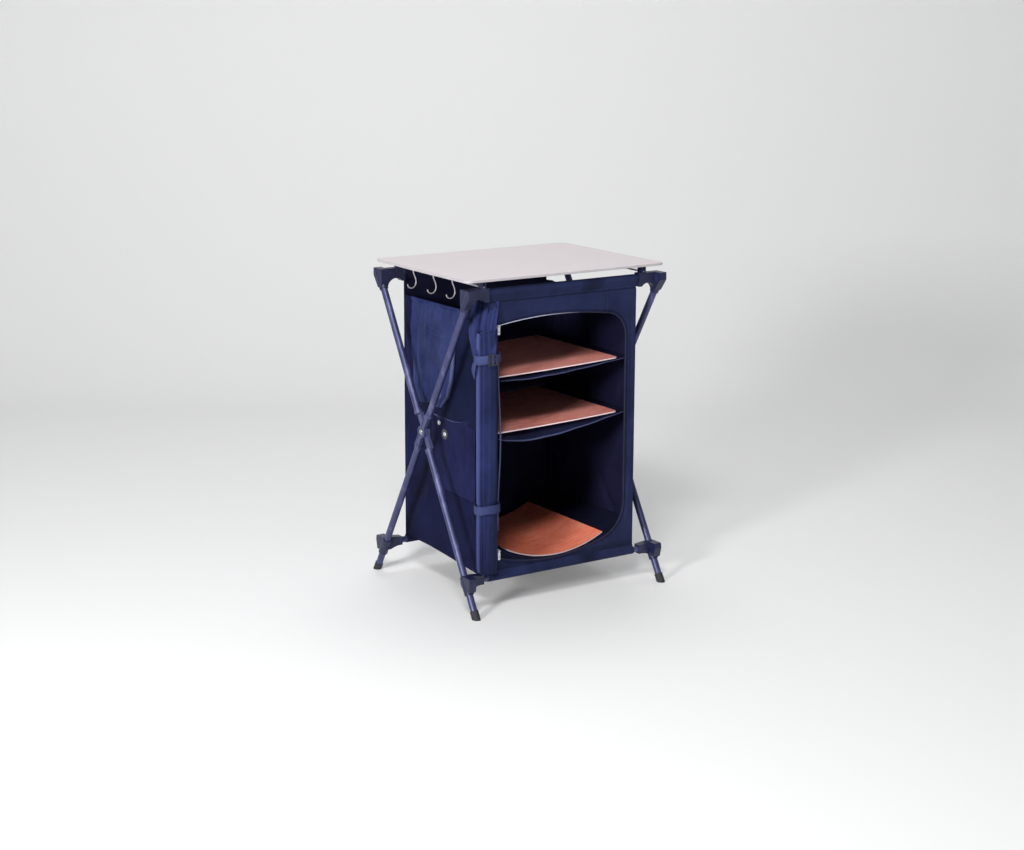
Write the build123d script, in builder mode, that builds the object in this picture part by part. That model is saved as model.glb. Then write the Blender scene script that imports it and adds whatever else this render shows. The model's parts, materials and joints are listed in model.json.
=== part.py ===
from build123d import *
from math import atan2, cos, hypot, pi, sin, sqrt, tan
import os

os.makedirs("parts", exist_ok=True)

# Overall sizes in millimetres. X runs across the front, Y towards the back and Z up.
# The origin lies on the floor under the middle of the worktop.
worktop_width = 600.0
worktop_depth = 460.0
overall_height = 850.0

# Worktop board with a rim round its edge.
worktop_thickness = 6.0
worktop_corner = 18.0
rim_width = 3.0
rim_rounding = 1.5
rim_seat = 0.05  # a glue line between the rim and the board

# Four tubular legs in two crossed pairs, one pair at each end of the worktop.
leg_tube = 18.0
tube_wall = 1.3
leg_inset = 11.0  # from the worktop's end to the leg's axis
foot_overhang = 22.0  # how far the feet stand out past the worktop's edge
leg_x = worktop_width / 2 - leg_inset
foot_y = worktop_depth / 2 + foot_overhang
head_y = worktop_depth / 2

# Clearances.
running_fit = 0.05  # radial, for pins and tubes that turn or slide
plug_fit = 0.05  # radial, for tubes pushed into caps and sockets
fabric_gap = 0.3
post_gap = 0.05

# Height of the brackets at the legs' heads, under the posts that carry the worktop.
post_height = 18.0
bracket_top = overall_height - worktop_thickness - post_height
lean = atan2(foot_y + head_y, bracket_top)  # each leg's angle from upright
pivot_z = foot_y / tan(lean)
leg_reach = pivot_z / cos(lean)  # from the pivot down the leg's axis to the floor

# Half-lap links where the legs cross.
link_gap = 0.3
link_thickness = leg_tube / 2 + 0.2
collar_start = 48.0
collar_end = 58.0
collar_radius = leg_tube / 2 + 1.25
link_waist = 7.6
boss_radius = 15.5
link_blend = 12.0
link_rim = 2.4
link_recess = 1.6
spigot_length = 25.0
spigot_radius = leg_tube / 2 - tube_wall - plug_fit
rivet_radius = 3.0
rivet_head_radius = 6.2
rivet_head = 2.2
washer_radius = 7.6
washer_thickness = 1.0
rivet_play = 0.1

# Rails across the front and back, inside the fabric hems.
rail_y = worktop_depth / 2 - 25
top_rail = 18.0
top_rail_z = bracket_top - 13
bottom_rail = 16.0
bottom_rail_z = 85.0
rail_wall = 1.2
rail_grip = 22.0  # how far a rail reaches into its bracket

# How far a cut or a rough shape runs past the face that ends it.
spare = 20.0

# The fabric box.
box_half_x = worktop_width / 2 - 74
cloth = 2.0
hem_cloth = 1.4
top_hem_bore = top_rail / 2 + fabric_gap
low_hem_bore = bottom_rail / 2 + fabric_gap
low_hem_radius = low_hem_bore + hem_cloth
side_top_z = overall_height - 95
side_low_front_z = bottom_rail_z - 9
side_low_back_z = bottom_rail_z + 15

# Brackets at the heads of the legs.
body_half = 10.6
arm_end_x = box_half_x + 2
arm_half_y = 11.0
arm_low_z = top_rail_z - 22
arch_top_z = top_rail_z - 14
socket_low_z = bracket_top - 53
socket_radius = leg_tube / 2 + 2.6
head_tip_y = head_y + 6
wedge_trim = 4.0  # cut off again by the flat at the tip
wedge_shoulder = 14.0
wedge_foot = 4.0
arch_foot = 9.0
tube_top_z = bracket_top - 24
socket_up = (bracket_top + 4 - pivot_z) / cos(lean)
socket_down = (socket_low_z - pivot_z) / cos(lean)
tube_up = (tube_top_z - pivot_z) / cos(lean)

# Posts on the brackets: they carry the worktop and hold the ends of the side rods.
rod = 4.5
rod_x = box_half_x + 17
rod_z = bracket_top + 3
rod_half = rail_y + 9
notch_play = 0.3
post_half_x = 6.0
post_half_y = 10.0

# Hooks that hang on the left rod.
hook_wire = 3.0
hook_play = 0.05
hook_places = (worktop_depth * 0.293, worktop_depth * 0.074, -worktop_depth * 0.126)
hook_drop = 48.5
hook_bulge = 12.5

# Sliding brackets low on the legs.
slide_top_z = bottom_rail_z + 16
slide_low_z = bottom_rail_z - 30
slide_radius = leg_tube / 2 + 3.4
slide_arm_x = box_half_x + 17
slide_tip = 18.0  # how far the wing stands out behind the leg
slide_shoulder = 13.0
slide_foot = 9.0

# Feet.
foot_radius = leg_tube / 2 + 1.8
foot_length = 22.0
foot_sole = 8.5  # along the leg, from the floor to the end of the tube

# Door opening in the front, with its zip. The lower edge sags between the sides and turns up
# to the right in a wide corner.
door_left = -box_half_x + 29
door_right = box_half_x - 34
door_low = 110.0
door_low_x = -30.0
door_low_left = door_low + 25
corner_start_x = door_right - 64
corner_start_z = door_low + 27
corner_middle_x = door_right - 18
corner_middle_z = door_low + 60
corner_end_z = door_low + 105
door_top_left = side_top_z - 28
door_top_mid = side_top_z - 14
door_top_right = side_top_z - 25
door_upper_corner = 62.0
zip_width = 8.0
zip_thickness = 1.0

# Shelf boards on their slings: half width, half depth, height at the middle and rise at the ends.
board_thickness = 3.0
shelf_half_x = door_right - 6
shelf_half_y = rail_y - 20
shelf_rise = 12.0
upper_shelf_z = overall_height * 0.7
middle_shelf_z = overall_height * 0.531
floor_board_half_x = box_half_x * 0.664
floor_board_rise = 36.0
floor_board_z = bottom_rail_z + 20
floor_wall_z = bottom_rail_z + 85

# Door rolled up beside the opening, with two straps.
roll_half_x = 34.0
roll_half_y = 21.5
roll_x = door_left - 11 - roll_half_x
roll_low = bottom_rail_z + 23
roll_high = side_top_z - 33
strap = 1.6
strap_width = 22.0
strap_half_x = roll_half_x + fabric_gap + strap
strap_half_y = roll_half_y + fabric_gap + strap
edge_share = (box_half_x + roll_x) / strap_half_x  # where the panel's edge meets the strap
roll_y = -rail_y - cloth / 2 - fabric_gap - strap_half_y * sqrt(1 - edge_share**2)
upper_strap_z = roll_high - 67
lower_strap_z = roll_low + 167

# Buckle on the upper strap.
buckle_width = 26.0
buckle_height = strap_width + 6
buckle_thickness = 3.0
buckle_window = 7.0
buckle_bar = 6.0

# Zip sliders: a body with two lugs and a bar, and a pull tab that hangs on the bar.
slider_half_x = 4.5
slider_height = 13.0
slider_depth = 4.0
slider_corner = 2.5
lug_inner = 2.6
lug_outer = 4.0
lug_radius = 1.8
bar_reach = 3.2
bar_radius = 0.9
bar_lift = 3.0  # above the slider's middle
pull_length = 20.0
pull_half_x = 3.6
pull_thickness = 1.8
pull_eye = 2.1
pull_hole = 1.6
pull_play = 0.2

# Pieces on the left wall.
pocket_top_z = pivot_z + 30
pocket_height = 190.0
pocket_front_y = -150.0
pocket_back_y = 60.0
eyelet_y = -5.0
eyelet_drop = 44.0  # below the pocket's top
eyelet_radius = 14.0
eyelet_hole = 6.5
eyelet_height = 2.5
stud_y = 24.0
stud_drop = 19.0
stud_radius = 6.0
stud_height = 2.4

# Gear bag high on the left wall. Its front edge slants back towards the bottom.
bag_top_z = side_top_z - 12
bag_bend_z = bag_top_z - 78
bag_low_z = pivot_z + 52
bag_back_y = 152.0
bag_front_top_y = -80.0
bag_front_bend_y = -62.0
bag_front_low_y = 2.0
bag_depth = 16.0
bag_slope = 40.0  # degrees that its sides lean in


def save(piece, name):
    """Labels a finished piece and writes it to its own file."""
    piece.label = name
    export_step(piece, f"parts/{name}.step")


def leg_plane(side, way, distance):
    """Plane across a leg: side +1 is the right end, way +1 leans back at its head."""
    along = Vector(0, way * sin(lean), cos(lean))
    pivot = Vector(side * leg_x, 0, pivot_z)
    return Plane(origin=pivot + along * distance, x_dir=(1, 0, 0), z_dir=along)


def tube(plane, outside, wall, length):
    """Straight round tube that starts on a plane."""
    with BuildPart() as piece:
        with BuildSketch(plane):
            Circle(outside / 2)
            Circle(outside / 2 - wall, mode=Mode.SUBTRACT)
        extrude(amount=length)
    return piece.part


def link_outline(inset):
    """Outline of a link's flat side: two hollowed flanks and a round boss at the pivot."""
    half = collar_start + 2 if inset == 0 else collar_start - 4
    end = collar_radius - inset
    waist = link_waist - inset
    with BuildLine() as flanks:
        ThreePointArc((-half, end), (0, waist), (half, end))
        Line((half, end), (half, -end))
        ThreePointArc((half, -end), (0, -waist), (-half, -end))
        Line((-half, -end), (-half, end))
    make_face(flanks.edges())
    Circle(boss_radius - inset)


def link(side, way):
    """Half of a leg crossing: a half-thickness plate between two collars with spigots."""
    outward = -side * way
    along = Vector(0, way * sin(lean), cos(lean))
    start = Vector(side * leg_x + outward * link_gap / 2, 0, pivot_z)
    flat = Plane(origin=start, x_dir=along, z_dir=(outward, 0, 0))
    with BuildPart() as piece:
        with BuildSketch(flat) as outline:
            link_outline(0)
            boss_corners = outline.vertices().filter_by(
                lambda v: abs(hypot(v.X, v.Y) - boss_radius) < 0.01
            )
            fillet(boss_corners, link_blend)
        extrude(amount=link_thickness)
        with BuildSketch(flat.offset(link_thickness - link_recess)):
            link_outline(link_rim)
        extrude(amount=link_recess, mode=Mode.SUBTRACT)
        for end in (-1, 1):
            with BuildSketch(leg_plane(side, way, end * collar_start)):
                Circle(collar_radius)
            extrude(amount=end * (collar_end - collar_start))
            with BuildSketch(leg_plane(side, way, end * collar_end)):
                Circle(spigot_radius)
            extrude(amount=end * spigot_length)
        with BuildSketch(flat):
            Circle(rivet_radius + running_fit)
        extrude(amount=link_thickness, mode=Mode.SUBTRACT)
    return piece.part


ends = {"left": -1, "right": 1}
ways = {"a": 1, "b": -1}

# Leg tubes and links. Pair a runs from the back of the worktop to the front feet,
# pair b from the front of the worktop to the back feet.
lower_length = leg_reach - foot_sole - collar_end
for way_name, way in ways.items():
    for end_name, side in ends.items():
        upper = tube(leg_plane(side, way, collar_end), leg_tube, tube_wall, tube_up - collar_end)
        save(upper, f"leg_{way_name}_{end_name}_upper")
        lower_start = leg_plane(side, way, foot_sole - leg_reach)
        lower = tube(lower_start, leg_tube, tube_wall, lower_length)
        save(lower, f"leg_{way_name}_{end_name}_lower")
        save(link(side, way), f"link_{way_name}_{end_name}")

# Rivets through the links, with a washer under each head.
recess_floor = link_gap / 2 + link_thickness - link_recess
washer_start = recess_floor + rivet_play
head_start = washer_start + washer_thickness + rivet_play / 2
with BuildPart() as pivot_rivets:
    for side in ends.values():
        with BuildSketch(Plane.YZ.offset(side * leg_x - head_start)):
            with Locations((0, pivot_z)):
                Circle(rivet_radius)
        extrude(amount=2 * head_start)
        for way in (-1, 1):
            with BuildSketch(Plane.YZ.offset(side * leg_x + way * head_start)):
                with Locations((0, pivot_z)):
                    Circle(rivet_head_radius)
            extrude(amount=way * rivet_head, taper=25)
save(pivot_rivets.part, "pivot_rivets")

with BuildPart() as pivot_washers:
    for side in ends.values():
        for way in (-1, 1):
            with BuildSketch(Plane.YZ.offset(side * leg_x + way * washer_start)):
                with Locations((0, pivot_z)):
                    Circle(washer_radius)
                    Circle(rivet_radius + running_fit, mode=Mode.SUBTRACT)
            extrude(amount=way * washer_thickness)
save(pivot_washers.part, "pivot_washers")

# Bracket at a leg's head, drawn for the right back corner: a wedge beside the leg, a socket
# for the tube, an arched arm to the rail and a post with a notch for the side rod.
outer_slope = socket_radius / cos(lean)
axis_y_low = (socket_low_z - pivot_z) * tan(lean)
arch_low_z = socket_low_z + 6
with BuildPart() as top_bracket:
    with BuildSketch(leg_plane(1, 1, socket_down)):
        Circle(socket_radius)
    extrude(amount=socket_up - socket_down)
    with BuildSketch(Plane.YZ.offset(leg_x - body_half)) as wedge:
        with BuildLine():
            Polyline(
                (rail_y - arm_half_y, bracket_top),
                (head_tip_y + wedge_trim, bracket_top),
                (head_tip_y + wedge_trim, bracket_top - wedge_shoulder),
                (axis_y_low + outer_slope + 1, socket_low_z + wedge_foot),
                (axis_y_low - 2, socket_low_z + wedge_foot),
                (rail_y - arm_half_y, arm_low_z),
                close=True,
            )
        make_face()
        fillet(wedge.vertices().sort_by(Axis.X)[-2:], wedge_trim)
    extrude(amount=2 * body_half)
    with BuildSketch(Plane.XZ.offset(-rail_y - arm_half_y)) as arm:
        with BuildLine():
            Line((arm_end_x, arm_low_z), (arm_end_x, bracket_top))
            Line((arm_end_x, bracket_top), (leg_x, bracket_top))
            Line((leg_x, bracket_top), (leg_x, arch_low_z))
            Line((leg_x, arch_low_z), (leg_x - arch_foot, arch_low_z))
            ThreePointArc(
                (leg_x - arch_foot, arch_low_z),
                ((leg_x + arm_end_x) / 2 + 3, arch_top_z),
                (arm_end_x + arch_foot, arm_low_z),
            )
            Line((arm_end_x + arch_foot, arm_low_z), (arm_end_x, arm_low_z))
        make_face()
    extrude(amount=2 * arm_half_y)
    split(bisect_by=Plane.XY.offset(bracket_top), keep=Keep.BOTTOM)
    split(bisect_by=Plane.XZ.offset(-head_tip_y), keep=Keep.TOP)
    with BuildSketch(leg_plane(1, 1, socket_down - spare)):
        Circle(leg_tube / 2 + plug_fit)
    extrude(amount=tube_up + plug_fit - socket_down + spare, mode=Mode.SUBTRACT)
    with BuildSketch(Plane.YZ.offset(arm_end_x)):
        with Locations((rail_y, top_rail_z)):
            Circle(top_rail / 2 + plug_fit)
    extrude(amount=rail_grip, mode=Mode.SUBTRACT)
    with BuildSketch(Plane.XY.offset(bracket_top - 1)):
        with Locations((rod_x, rail_y)):
            Rectangle(2 * post_half_x, 2 * post_half_y)
    extrude(amount=post_height + 1 - post_gap)
    with BuildSketch(Plane.XZ.offset(-rail_y - post_half_y)):
        with Locations((rod_x, rod_z)):
            Circle(rod / 2 + notch_play)
        with Locations((rod_x, rod_z + post_height / 2)):
            Rectangle(rod + 2 * notch_play, post_height)
    extrude(amount=2 * post_half_y, mode=Mode.SUBTRACT)

# Sliding bracket low on a leg, drawn for the right back corner: a sleeve round the tube,
# a wing behind it and an arm to the bottom rail.
slide_start = (slide_low_z - pivot_z) / cos(lean)
slide_stop = (slide_top_z - 5 - pivot_z) / cos(lean)
slide_arch_z = slide_low_z + 12
leg_y_low = foot_y - slide_low_z * tan(lean)
with BuildPart() as slide_bracket:
    with BuildSketch(leg_plane(1, -1, slide_start)):
        Circle(slide_radius)
    extrude(amount=slide_stop - slide_start)
    with BuildSketch(Plane.YZ.offset(leg_x - body_half)) as wing:
        with BuildLine():
            Polyline(
                (rail_y - arm_half_y, slide_top_z),
                (leg_y_low + slide_tip - 2, slide_top_z),
                (leg_y_low + slide_tip, slide_top_z - slide_shoulder),
                (leg_y_low + slide_radius, slide_low_z + slide_foot),
                (leg_y_low - slide_radius, slide_low_z + slide_foot),
                (rail_y - arm_half_y, bottom_rail_z - 6),
                close=True,
            )
        make_face()
        fillet(wing.vertices().sort_by(Axis.X)[-2:], 3)
    extrude(amount=2 * body_half)
    with BuildSketch(Plane.XZ.offset(-rail_y - arm_half_y)):
        with BuildLine():
            Line((slide_arm_x, bottom_rail_z - 11), (slide_arm_x, slide_top_z - 4))
            Line((slide_arm_x, slide_top_z - 4), (leg_x - body_half, slide_top_z))
            Line((leg_x - body_half, slide_top_z), (leg_x, slide_top_z))
            Line((leg_x, slide_top_z), (leg_x, slide_arch_z))
            Line((leg_x, slide_arch_z), (leg_x - 11, slide_arch_z))
            ThreePointArc(
                (leg_x - 11, slide_arch_z),
                (leg_x - 20, bottom_rail_z - 14),
                (slide_arm_x, bottom_rail_z - 11),
            )
        make_face()
    extrude(amount=2 * arm_half_y)
    with BuildSketch(leg_plane(1, -1, slide_start - spare)):
        Circle(leg_tube / 2 + running_fit)
    extrude(amount=slide_stop - slide_start + 3 * spare, mode=Mode.SUBTRACT)
    with BuildSketch(Plane.YZ.offset(slide_arm_x)):
        with Locations((rail_y, bottom_rail_z)):
            Circle(bottom_rail / 2 + plug_fit)
    extrude(amount=rail_grip, mode=Mode.SUBTRACT)


def corner_piece(master, side, front):
    """The right back corner's piece, mirrored to another corner."""
    piece = master
    if side < 0:
        piece = piece.mirror(Plane.YZ)
    if front:
        piece = piece.mirror(Plane.XZ)
    return piece


for end_name, side in ends.items():
    for depth_name, front in (("front", True), ("back", False)):
        head = corner_piece(top_bracket.part, side, front)
        save(head, f"top_bracket_{depth_name}_{end_name}")
        slider = corner_piece(slide_bracket.part, side, front)
        save(slider, f"slide_bracket_{depth_name}_{end_name}")

# Foot caps, cut level with the floor. Leg pair a ends in the front feet.
for depth_name, way in (("front", 1), ("back", -1)):
    with BuildPart() as feet:
        for side in ends.values():
            with BuildSketch(leg_plane(side, way, foot_length - leg_reach)):
                Circle(foot_radius)
            extrude(amount=-foot_length - spare)
            with BuildSketch(leg_plane(side, way, foot_length + 1 - leg_reach)):
                Circle(leg_tube / 2 + plug_fit)
            extrude(amount=foot_sole - foot_length - 1 - plug_fit, mode=Mode.SUBTRACT)
        split(bisect_by=Plane.XY, keep=Keep.TOP)
    save(feet.part, f"feet_{depth_name}")

# Rails.
for depth_name, y in (("front", -rail_y), ("back", rail_y)):
    top_half = arm_end_x + rail_grip - plug_fit
    top_start = Plane(origin=(-top_half, y, top_rail_z), x_dir=(0, 1, 0), z_dir=(1, 0, 0))
    save(tube(top_start, top_rail, rail_wall, 2 * top_half), f"top_rail_{depth_name}")
    low_half = slide_arm_x + rail_grip - plug_fit
    low_start = Plane(origin=(-low_half, y, bottom_rail_z), x_dir=(0, 1, 0), z_dir=(1, 0, 0))
    save(tube(low_start, bottom_rail, rail_wall, 2 * low_half), f"bottom_rail_{depth_name}")

# Worktop board and its rim.
underside = overall_height - worktop_thickness
with BuildPart() as worktop_board:
    with BuildSketch(Plane.XY.offset(underside)):
        RectangleRounded(
            worktop_width - 2 * rim_width - 2 * rim_seat,
            worktop_depth - 2 * rim_width - 2 * rim_seat,
            worktop_corner - rim_width - rim_seat,
        )
    extrude(amount=worktop_thickness)
save(worktop_board.part, "worktop_board")

with BuildPart() as worktop_rim:
    with BuildSketch(Plane.XY.offset(underside)):
        RectangleRounded(worktop_width, worktop_depth, worktop_corner)
    extrude(amount=worktop_thickness)
    outer_edges = worktop_rim.edges().group_by(Axis.Z)
    fillet(outer_edges[0] + outer_edges[-1], rim_rounding)
    with BuildSketch(Plane.XY.offset(underside)):
        RectangleRounded(
            worktop_width - 2 * rim_width,
            worktop_depth - 2 * rim_width,
            worktop_corner - rim_width,
        )
    extrude(amount=worktop_thickness, mode=Mode.SUBTRACT)
save(worktop_rim.part, "worktop_rim")

# Side rods in the posts' notches.
for end_name, side in ends.items():
    with BuildPart() as side_rod:
        with BuildSketch(Plane.XZ.offset(-rod_half)):
            with Locations((side * rod_x, rod_z)):
                Circle(rod / 2)
        extrude(amount=2 * rod_half)
        chamfer(side_rod.edges().filter_by(GeomType.CIRCLE), 0.6)
    save(side_rod.part, f"side_rod_{end_name}")

# Hooks: an eye over the rod, a bowed shank and an open curl towards the outside.
eye = rod / 2 + hook_play + hook_wire / 2
eye_turns = (200, 165, 130, 90, 50, 20)
eye_points = [(eye * cos(t * pi / 180), eye * sin(t * pi / 180)) for t in eye_turns]
shank_points = [
    (eye + 0.4, -eye),
    (hook_bulge - 2, -hook_drop * 0.45),
    (hook_bulge, -hook_drop * 0.72),
    (hook_bulge * 0.6, -hook_drop * 0.93),
    (0, -hook_drop),
    (-hook_bulge * 0.75, -hook_drop * 0.93),
    (-hook_bulge, -hook_drop * 0.78),
]
for number, y in enumerate(hook_places, start=1):
    around_rod = Plane(origin=(-rod_x, y, rod_z), x_dir=(1, 0, 0), z_dir=(0, -1, 0))
    with BuildPart() as hook:
        with BuildLine(around_rod) as wire:
            Spline(*eye_points, *shank_points)
        with BuildSketch(Plane(origin=wire.line @ 0, z_dir=wire.line % 0)):
            Circle(hook_wire / 2)
        sweep(path=wire.line)
    save(hook.part, f"hook_{number}")


def hemmed_panel(y, with_door):
    """Upright fabric sheet with a tube-shaped hem round the top and bottom rails."""
    with BuildPart() as panel:
        with BuildSketch(Plane.YZ.offset(-box_half_x)):
            with Locations((y, top_rail_z)):
                Circle(top_hem_bore + hem_cloth)
            with Locations((y, bottom_rail_z)):
                Circle(low_hem_radius)
            with Locations((y, (top_rail_z + bottom_rail_z) / 2)):
                Rectangle(cloth, top_rail_z - bottom_rail_z)
            with Locations((y, top_rail_z)):
                Circle(top_hem_bore, mode=Mode.SUBTRACT)
            with Locations((y, bottom_rail_z)):
                Circle(low_hem_bore, mode=Mode.SUBTRACT)
        extrude(amount=2 * box_half_x)
        if with_door:
            with BuildSketch(Plane.XZ.offset(-y - cloth)):
                door_face()
            extrude(amount=2 * cloth, mode=Mode.SUBTRACT)
    return panel.part


def door_face():
    """Door opening: an arched head, a sagging sill and two rounded corners on the right."""
    upper = door_upper_corner
    slant = 1 - sqrt(0.5)
    with BuildLine() as edge:
        ThreePointArc(
            (door_left, door_low_left), (door_low_x, door_low), (corner_start_x, corner_start_z)
        )
        ThreePointArc(
            (corner_start_x, corner_start_z),
            (corner_middle_x, corner_middle_z),
            (door_right, corner_end_z),
        )
        Line((door_right, corner_end_z), (door_right, door_top_right - upper))
        ThreePointArc(
            (door_right, door_top_right - upper),
            (door_right - upper * slant, door_top_right - upper * slant),
            (door_right - upper, door_top_right),
        )
        ThreePointArc(
            (door_right - upper, door_top_right),
            (0, door_top_mid),
            (door_left, door_top_left),
        )
        Line((door_left, door_top_left), (door_left, door_low_left))
    make_face(edge.edges())


save(hemmed_panel(-rail_y, True), "front_panel")
save(hemmed_panel(rail_y, False), "back_panel")

# Side walls, with a lower edge that rises towards the back.
side_half_y = rail_y - cloth / 2 - fabric_gap
for end_name, side in ends.items():
    with BuildPart() as side_wall:
        with BuildSketch(Plane.YZ.offset(side * (box_half_x - cloth))):
            with BuildLine():
                Line((-side_half_y, side_low_front_z), (-side_half_y, side_top_z))
                Line((-side_half_y, side_top_z), (side_half_y, side_top_z))
                Line((side_half_y, side_top_z), (side_half_y, side_low_back_z))
                ThreePointArc(
                    (side_half_y, side_low_back_z),
                    (0, (side_low_front_z + side_low_back_z) / 2 + 4),
                    (-side_half_y, side_low_front_z),
                )
            make_face()
            for hem_y in (-rail_y, rail_y):
                with Locations((hem_y, bottom_rail_z)):
                    Circle(low_hem_radius + fabric_gap, mode=Mode.SUBTRACT)
        extrude(amount=side * cloth)
    save(side_wall.part, f"side_wall_{end_name}")


def bowed_sheet(half_x, half_y, middle_z, radius, thickness):
    """Sheet that sags across its width: both faces are arcs about one line above it."""
    centre_z = middle_z + radius
    low_radius = radius + thickness
    top_edge = centre_z - sqrt(radius**2 - half_x**2)
    low_edge = centre_z - sqrt(low_radius**2 - half_x**2)
    with BuildPart() as sheet:
        with BuildSketch(Plane.XZ.offset(half_y)):
            with BuildLine():
                ThreePointArc((-half_x, top_edge), (0, middle_z), (half_x, top_edge))
                Line((half_x, top_edge), (half_x, low_edge))
                ThreePointArc((half_x, low_edge), (0, middle_z - thickness), (-half_x, low_edge))
                Line((-half_x, low_edge), (-half_x, top_edge))
            make_face()
        extrude(amount=-2 * half_y)
    return sheet.part


# Shelf boards and the fabric slings sewn between the side walls under them.
shelf_radius = (shelf_half_x**2 + shelf_rise**2) / (2 * shelf_rise)
sling_radius = shelf_radius + board_thickness + fabric_gap
sling_half_x = box_half_x - cloth - fabric_gap
for level_name, level_z in (("upper", upper_shelf_z), ("middle", middle_shelf_z)):
    board = bowed_sheet(shelf_half_x, shelf_half_y, level_z, shelf_radius, board_thickness)
    save(board, f"shelf_board_{level_name}")
    sling_z = level_z - board_thickness - fabric_gap
    sling = bowed_sheet(sling_half_x, shelf_half_y + 5, sling_z, sling_radius, cloth)
    save(sling, f"sling_{level_name}")

floor_radius = (floor_board_half_x**2 + floor_board_rise**2) / (2 * floor_board_rise)
floor_board = bowed_sheet(
    floor_board_half_x, shelf_half_y - 10, floor_board_z, floor_radius, board_thickness
)
save(floor_board, "shelf_board_floor")

# Fabric floor: a trough under the bottom board with a straight wing up to each wall.
under_radius = floor_radius + board_thickness + fabric_gap
under_z = floor_board_z - board_thickness - fabric_gap
trough_half = floor_board_half_x + 6
trough_z = under_z + under_radius - sqrt(under_radius**2 - trough_half**2)
with BuildPart() as floor_panel:
    with BuildSketch(Plane.XZ.offset(side_half_y)):
        with BuildLine():
            Line((-sling_half_x, floor_wall_z), (-trough_half, trough_z))
            ThreePointArc((-trough_half, trough_z), (0, under_z), (trough_half, trough_z))
            Line((trough_half, trough_z), (sling_half_x, floor_wall_z))
            Line((sling_half_x, floor_wall_z), (sling_half_x, floor_wall_z - cloth))
            Line((sling_half_x, floor_wall_z - cloth), (trough_half, trough_z - cloth))
            ThreePointArc(
                (trough_half, trough_z - cloth), (0, under_z - cloth), (-trough_half, trough_z - cloth)
            )
            Line((-trough_half, trough_z - cloth), (-sling_half_x, floor_wall_z - cloth))
            Line((-sling_half_x, floor_wall_z - cloth), (-sling_half_x, floor_wall_z))
        make_face()
    extrude(amount=-2 * side_half_y)
save(floor_panel.part, "floor_panel")

# Zip tape along the opening's free edges.
tape_face_y = rail_y + cloth / 2 + plug_fit
with BuildPart() as zip_tape:
    with BuildSketch(Plane.XZ.offset(tape_face_y)):
        door_face()
        offset(amount=zip_width)
        folding_side = Rectangle(
            box_half_x, overall_height, align=(Align.MAX, Align.MIN), mode=Mode.PRIVATE
        )
        add(Pos(door_left - zip_width / 2, 0) * folding_side, mode=Mode.SUBTRACT)
    extrude(amount=zip_thickness)
    with BuildSketch(Plane.XZ.offset(tape_face_y)):
        door_face()
    extrude(amount=zip_thickness, mode=Mode.SUBTRACT)
save(zip_tape.part, "zip_tape")

# Zip sliders and their pull tabs.
slider_back = tape_face_y + zip_thickness + fabric_gap
bar_y = -(slider_back + slider_depth + bar_reach)
slider_places = {
    "upper": (door_left - 3, door_top_left, slider_height, 2 * slider_half_x),
    "lower": (door_left - 1, door_low_left + 15, 2 * slider_half_x, slider_height),
}
for place_name, (x, z, slider_width, slider_tall) in slider_places.items():
    bar_z = z + bar_lift
    with BuildPart() as slider:
        with BuildSketch(Plane.XZ.offset(slider_back)):
            with Locations((x, z)):
                RectangleRounded(slider_width, slider_tall, slider_corner)
        extrude(amount=slider_depth)
        for lug_side in (-1, 1):
            with BuildSketch(Plane.YZ.offset(x + lug_side * lug_inner)):
                with Locations((bar_y + bar_reach / 2, bar_z)):
                    Rectangle(bar_reach, 2 * lug_radius)
                with Locations((bar_y, bar_z)):
                    Circle(lug_radius)
            extrude(amount=lug_side * (lug_outer - lug_inner))
        with BuildSketch(Plane.YZ.offset(x - lug_inner)):
            with Locations((bar_y, bar_z)):
                Circle(bar_radius)
        extrude(amount=2 * lug_inner)
    save(slider.part, f"zip_slider_{place_name}")
    with BuildPart() as pull:
        with BuildSketch(Plane.YZ.offset(x - lug_inner + pull_play)):
            with Locations((bar_y, bar_z)):
                Circle(pull_eye)
            with Locations((bar_y, bar_z - pull_eye)):
                Rectangle(pull_thickness, 2 * pull_eye)
            with Locations((bar_y, bar_z)):
                Circle(bar_radius + running_fit, mode=Mode.SUBTRACT)
        extrude(amount=2 * lug_inner - 2 * pull_play)
        with BuildSketch(Plane.XZ.offset(-bar_y - pull_thickness / 2)):
            with Locations((x, z - pull_length / 2)):
                RectangleRounded(2 * pull_half_x, pull_length, slider_corner)
            with Locations((x, z - pull_length + 2 * pull_half_x)):
                Circle(pull_hole, mode=Mode.SUBTRACT)
        extrude(amount=pull_thickness)
    save(pull.part, f"zip_pull_{place_name}")

# Rolled door and its straps.
with BuildPart() as door_roll:
    with BuildSketch(Plane.XY.offset(roll_low)):
        with Locations((roll_x, roll_y)):
            Ellipse(roll_half_x, roll_half_y)
    extrude(amount=roll_high - roll_low)
    chamfer(door_roll.faces().filter_by(Axis.Z).edges(), 4)
save(door_roll.part, "door_roll")

for place_name, z in (("upper", upper_strap_z), ("lower", lower_strap_z)):
    with BuildPart() as door_strap:
        with BuildSketch(Plane.XY.offset(z - strap_width / 2)):
            with Locations((roll_x, roll_y)):
                Ellipse(strap_half_x, strap_half_y)
                Ellipse(roll_half_x + fabric_gap, roll_half_y + fabric_gap, mode=Mode.SUBTRACT)
        extrude(amount=strap_width)
    save(door_strap.part, f"door_strap_{place_name}")

# Buckle on the upper strap: a frame with two windows.
buckle_y = -roll_y + roll_half_y + 2 * fabric_gap + strap
with BuildPart() as strap_buckle:
    with BuildSketch(Plane.XZ.offset(buckle_y)):
        with Locations((roll_x, upper_strap_z)):
            RectangleRounded(buckle_width, buckle_height, buckle_thickness)
        for window_side in (-1, 1):
            window_x = roll_x + window_side * (buckle_window + buckle_bar) / 2
            with Locations((window_x, upper_strap_z)):
                Rectangle(buckle_window, strap_width, mode=Mode.SUBTRACT)
    extrude(amount=buckle_thickness)
save(strap_buckle.part, "strap_buckle")

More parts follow.
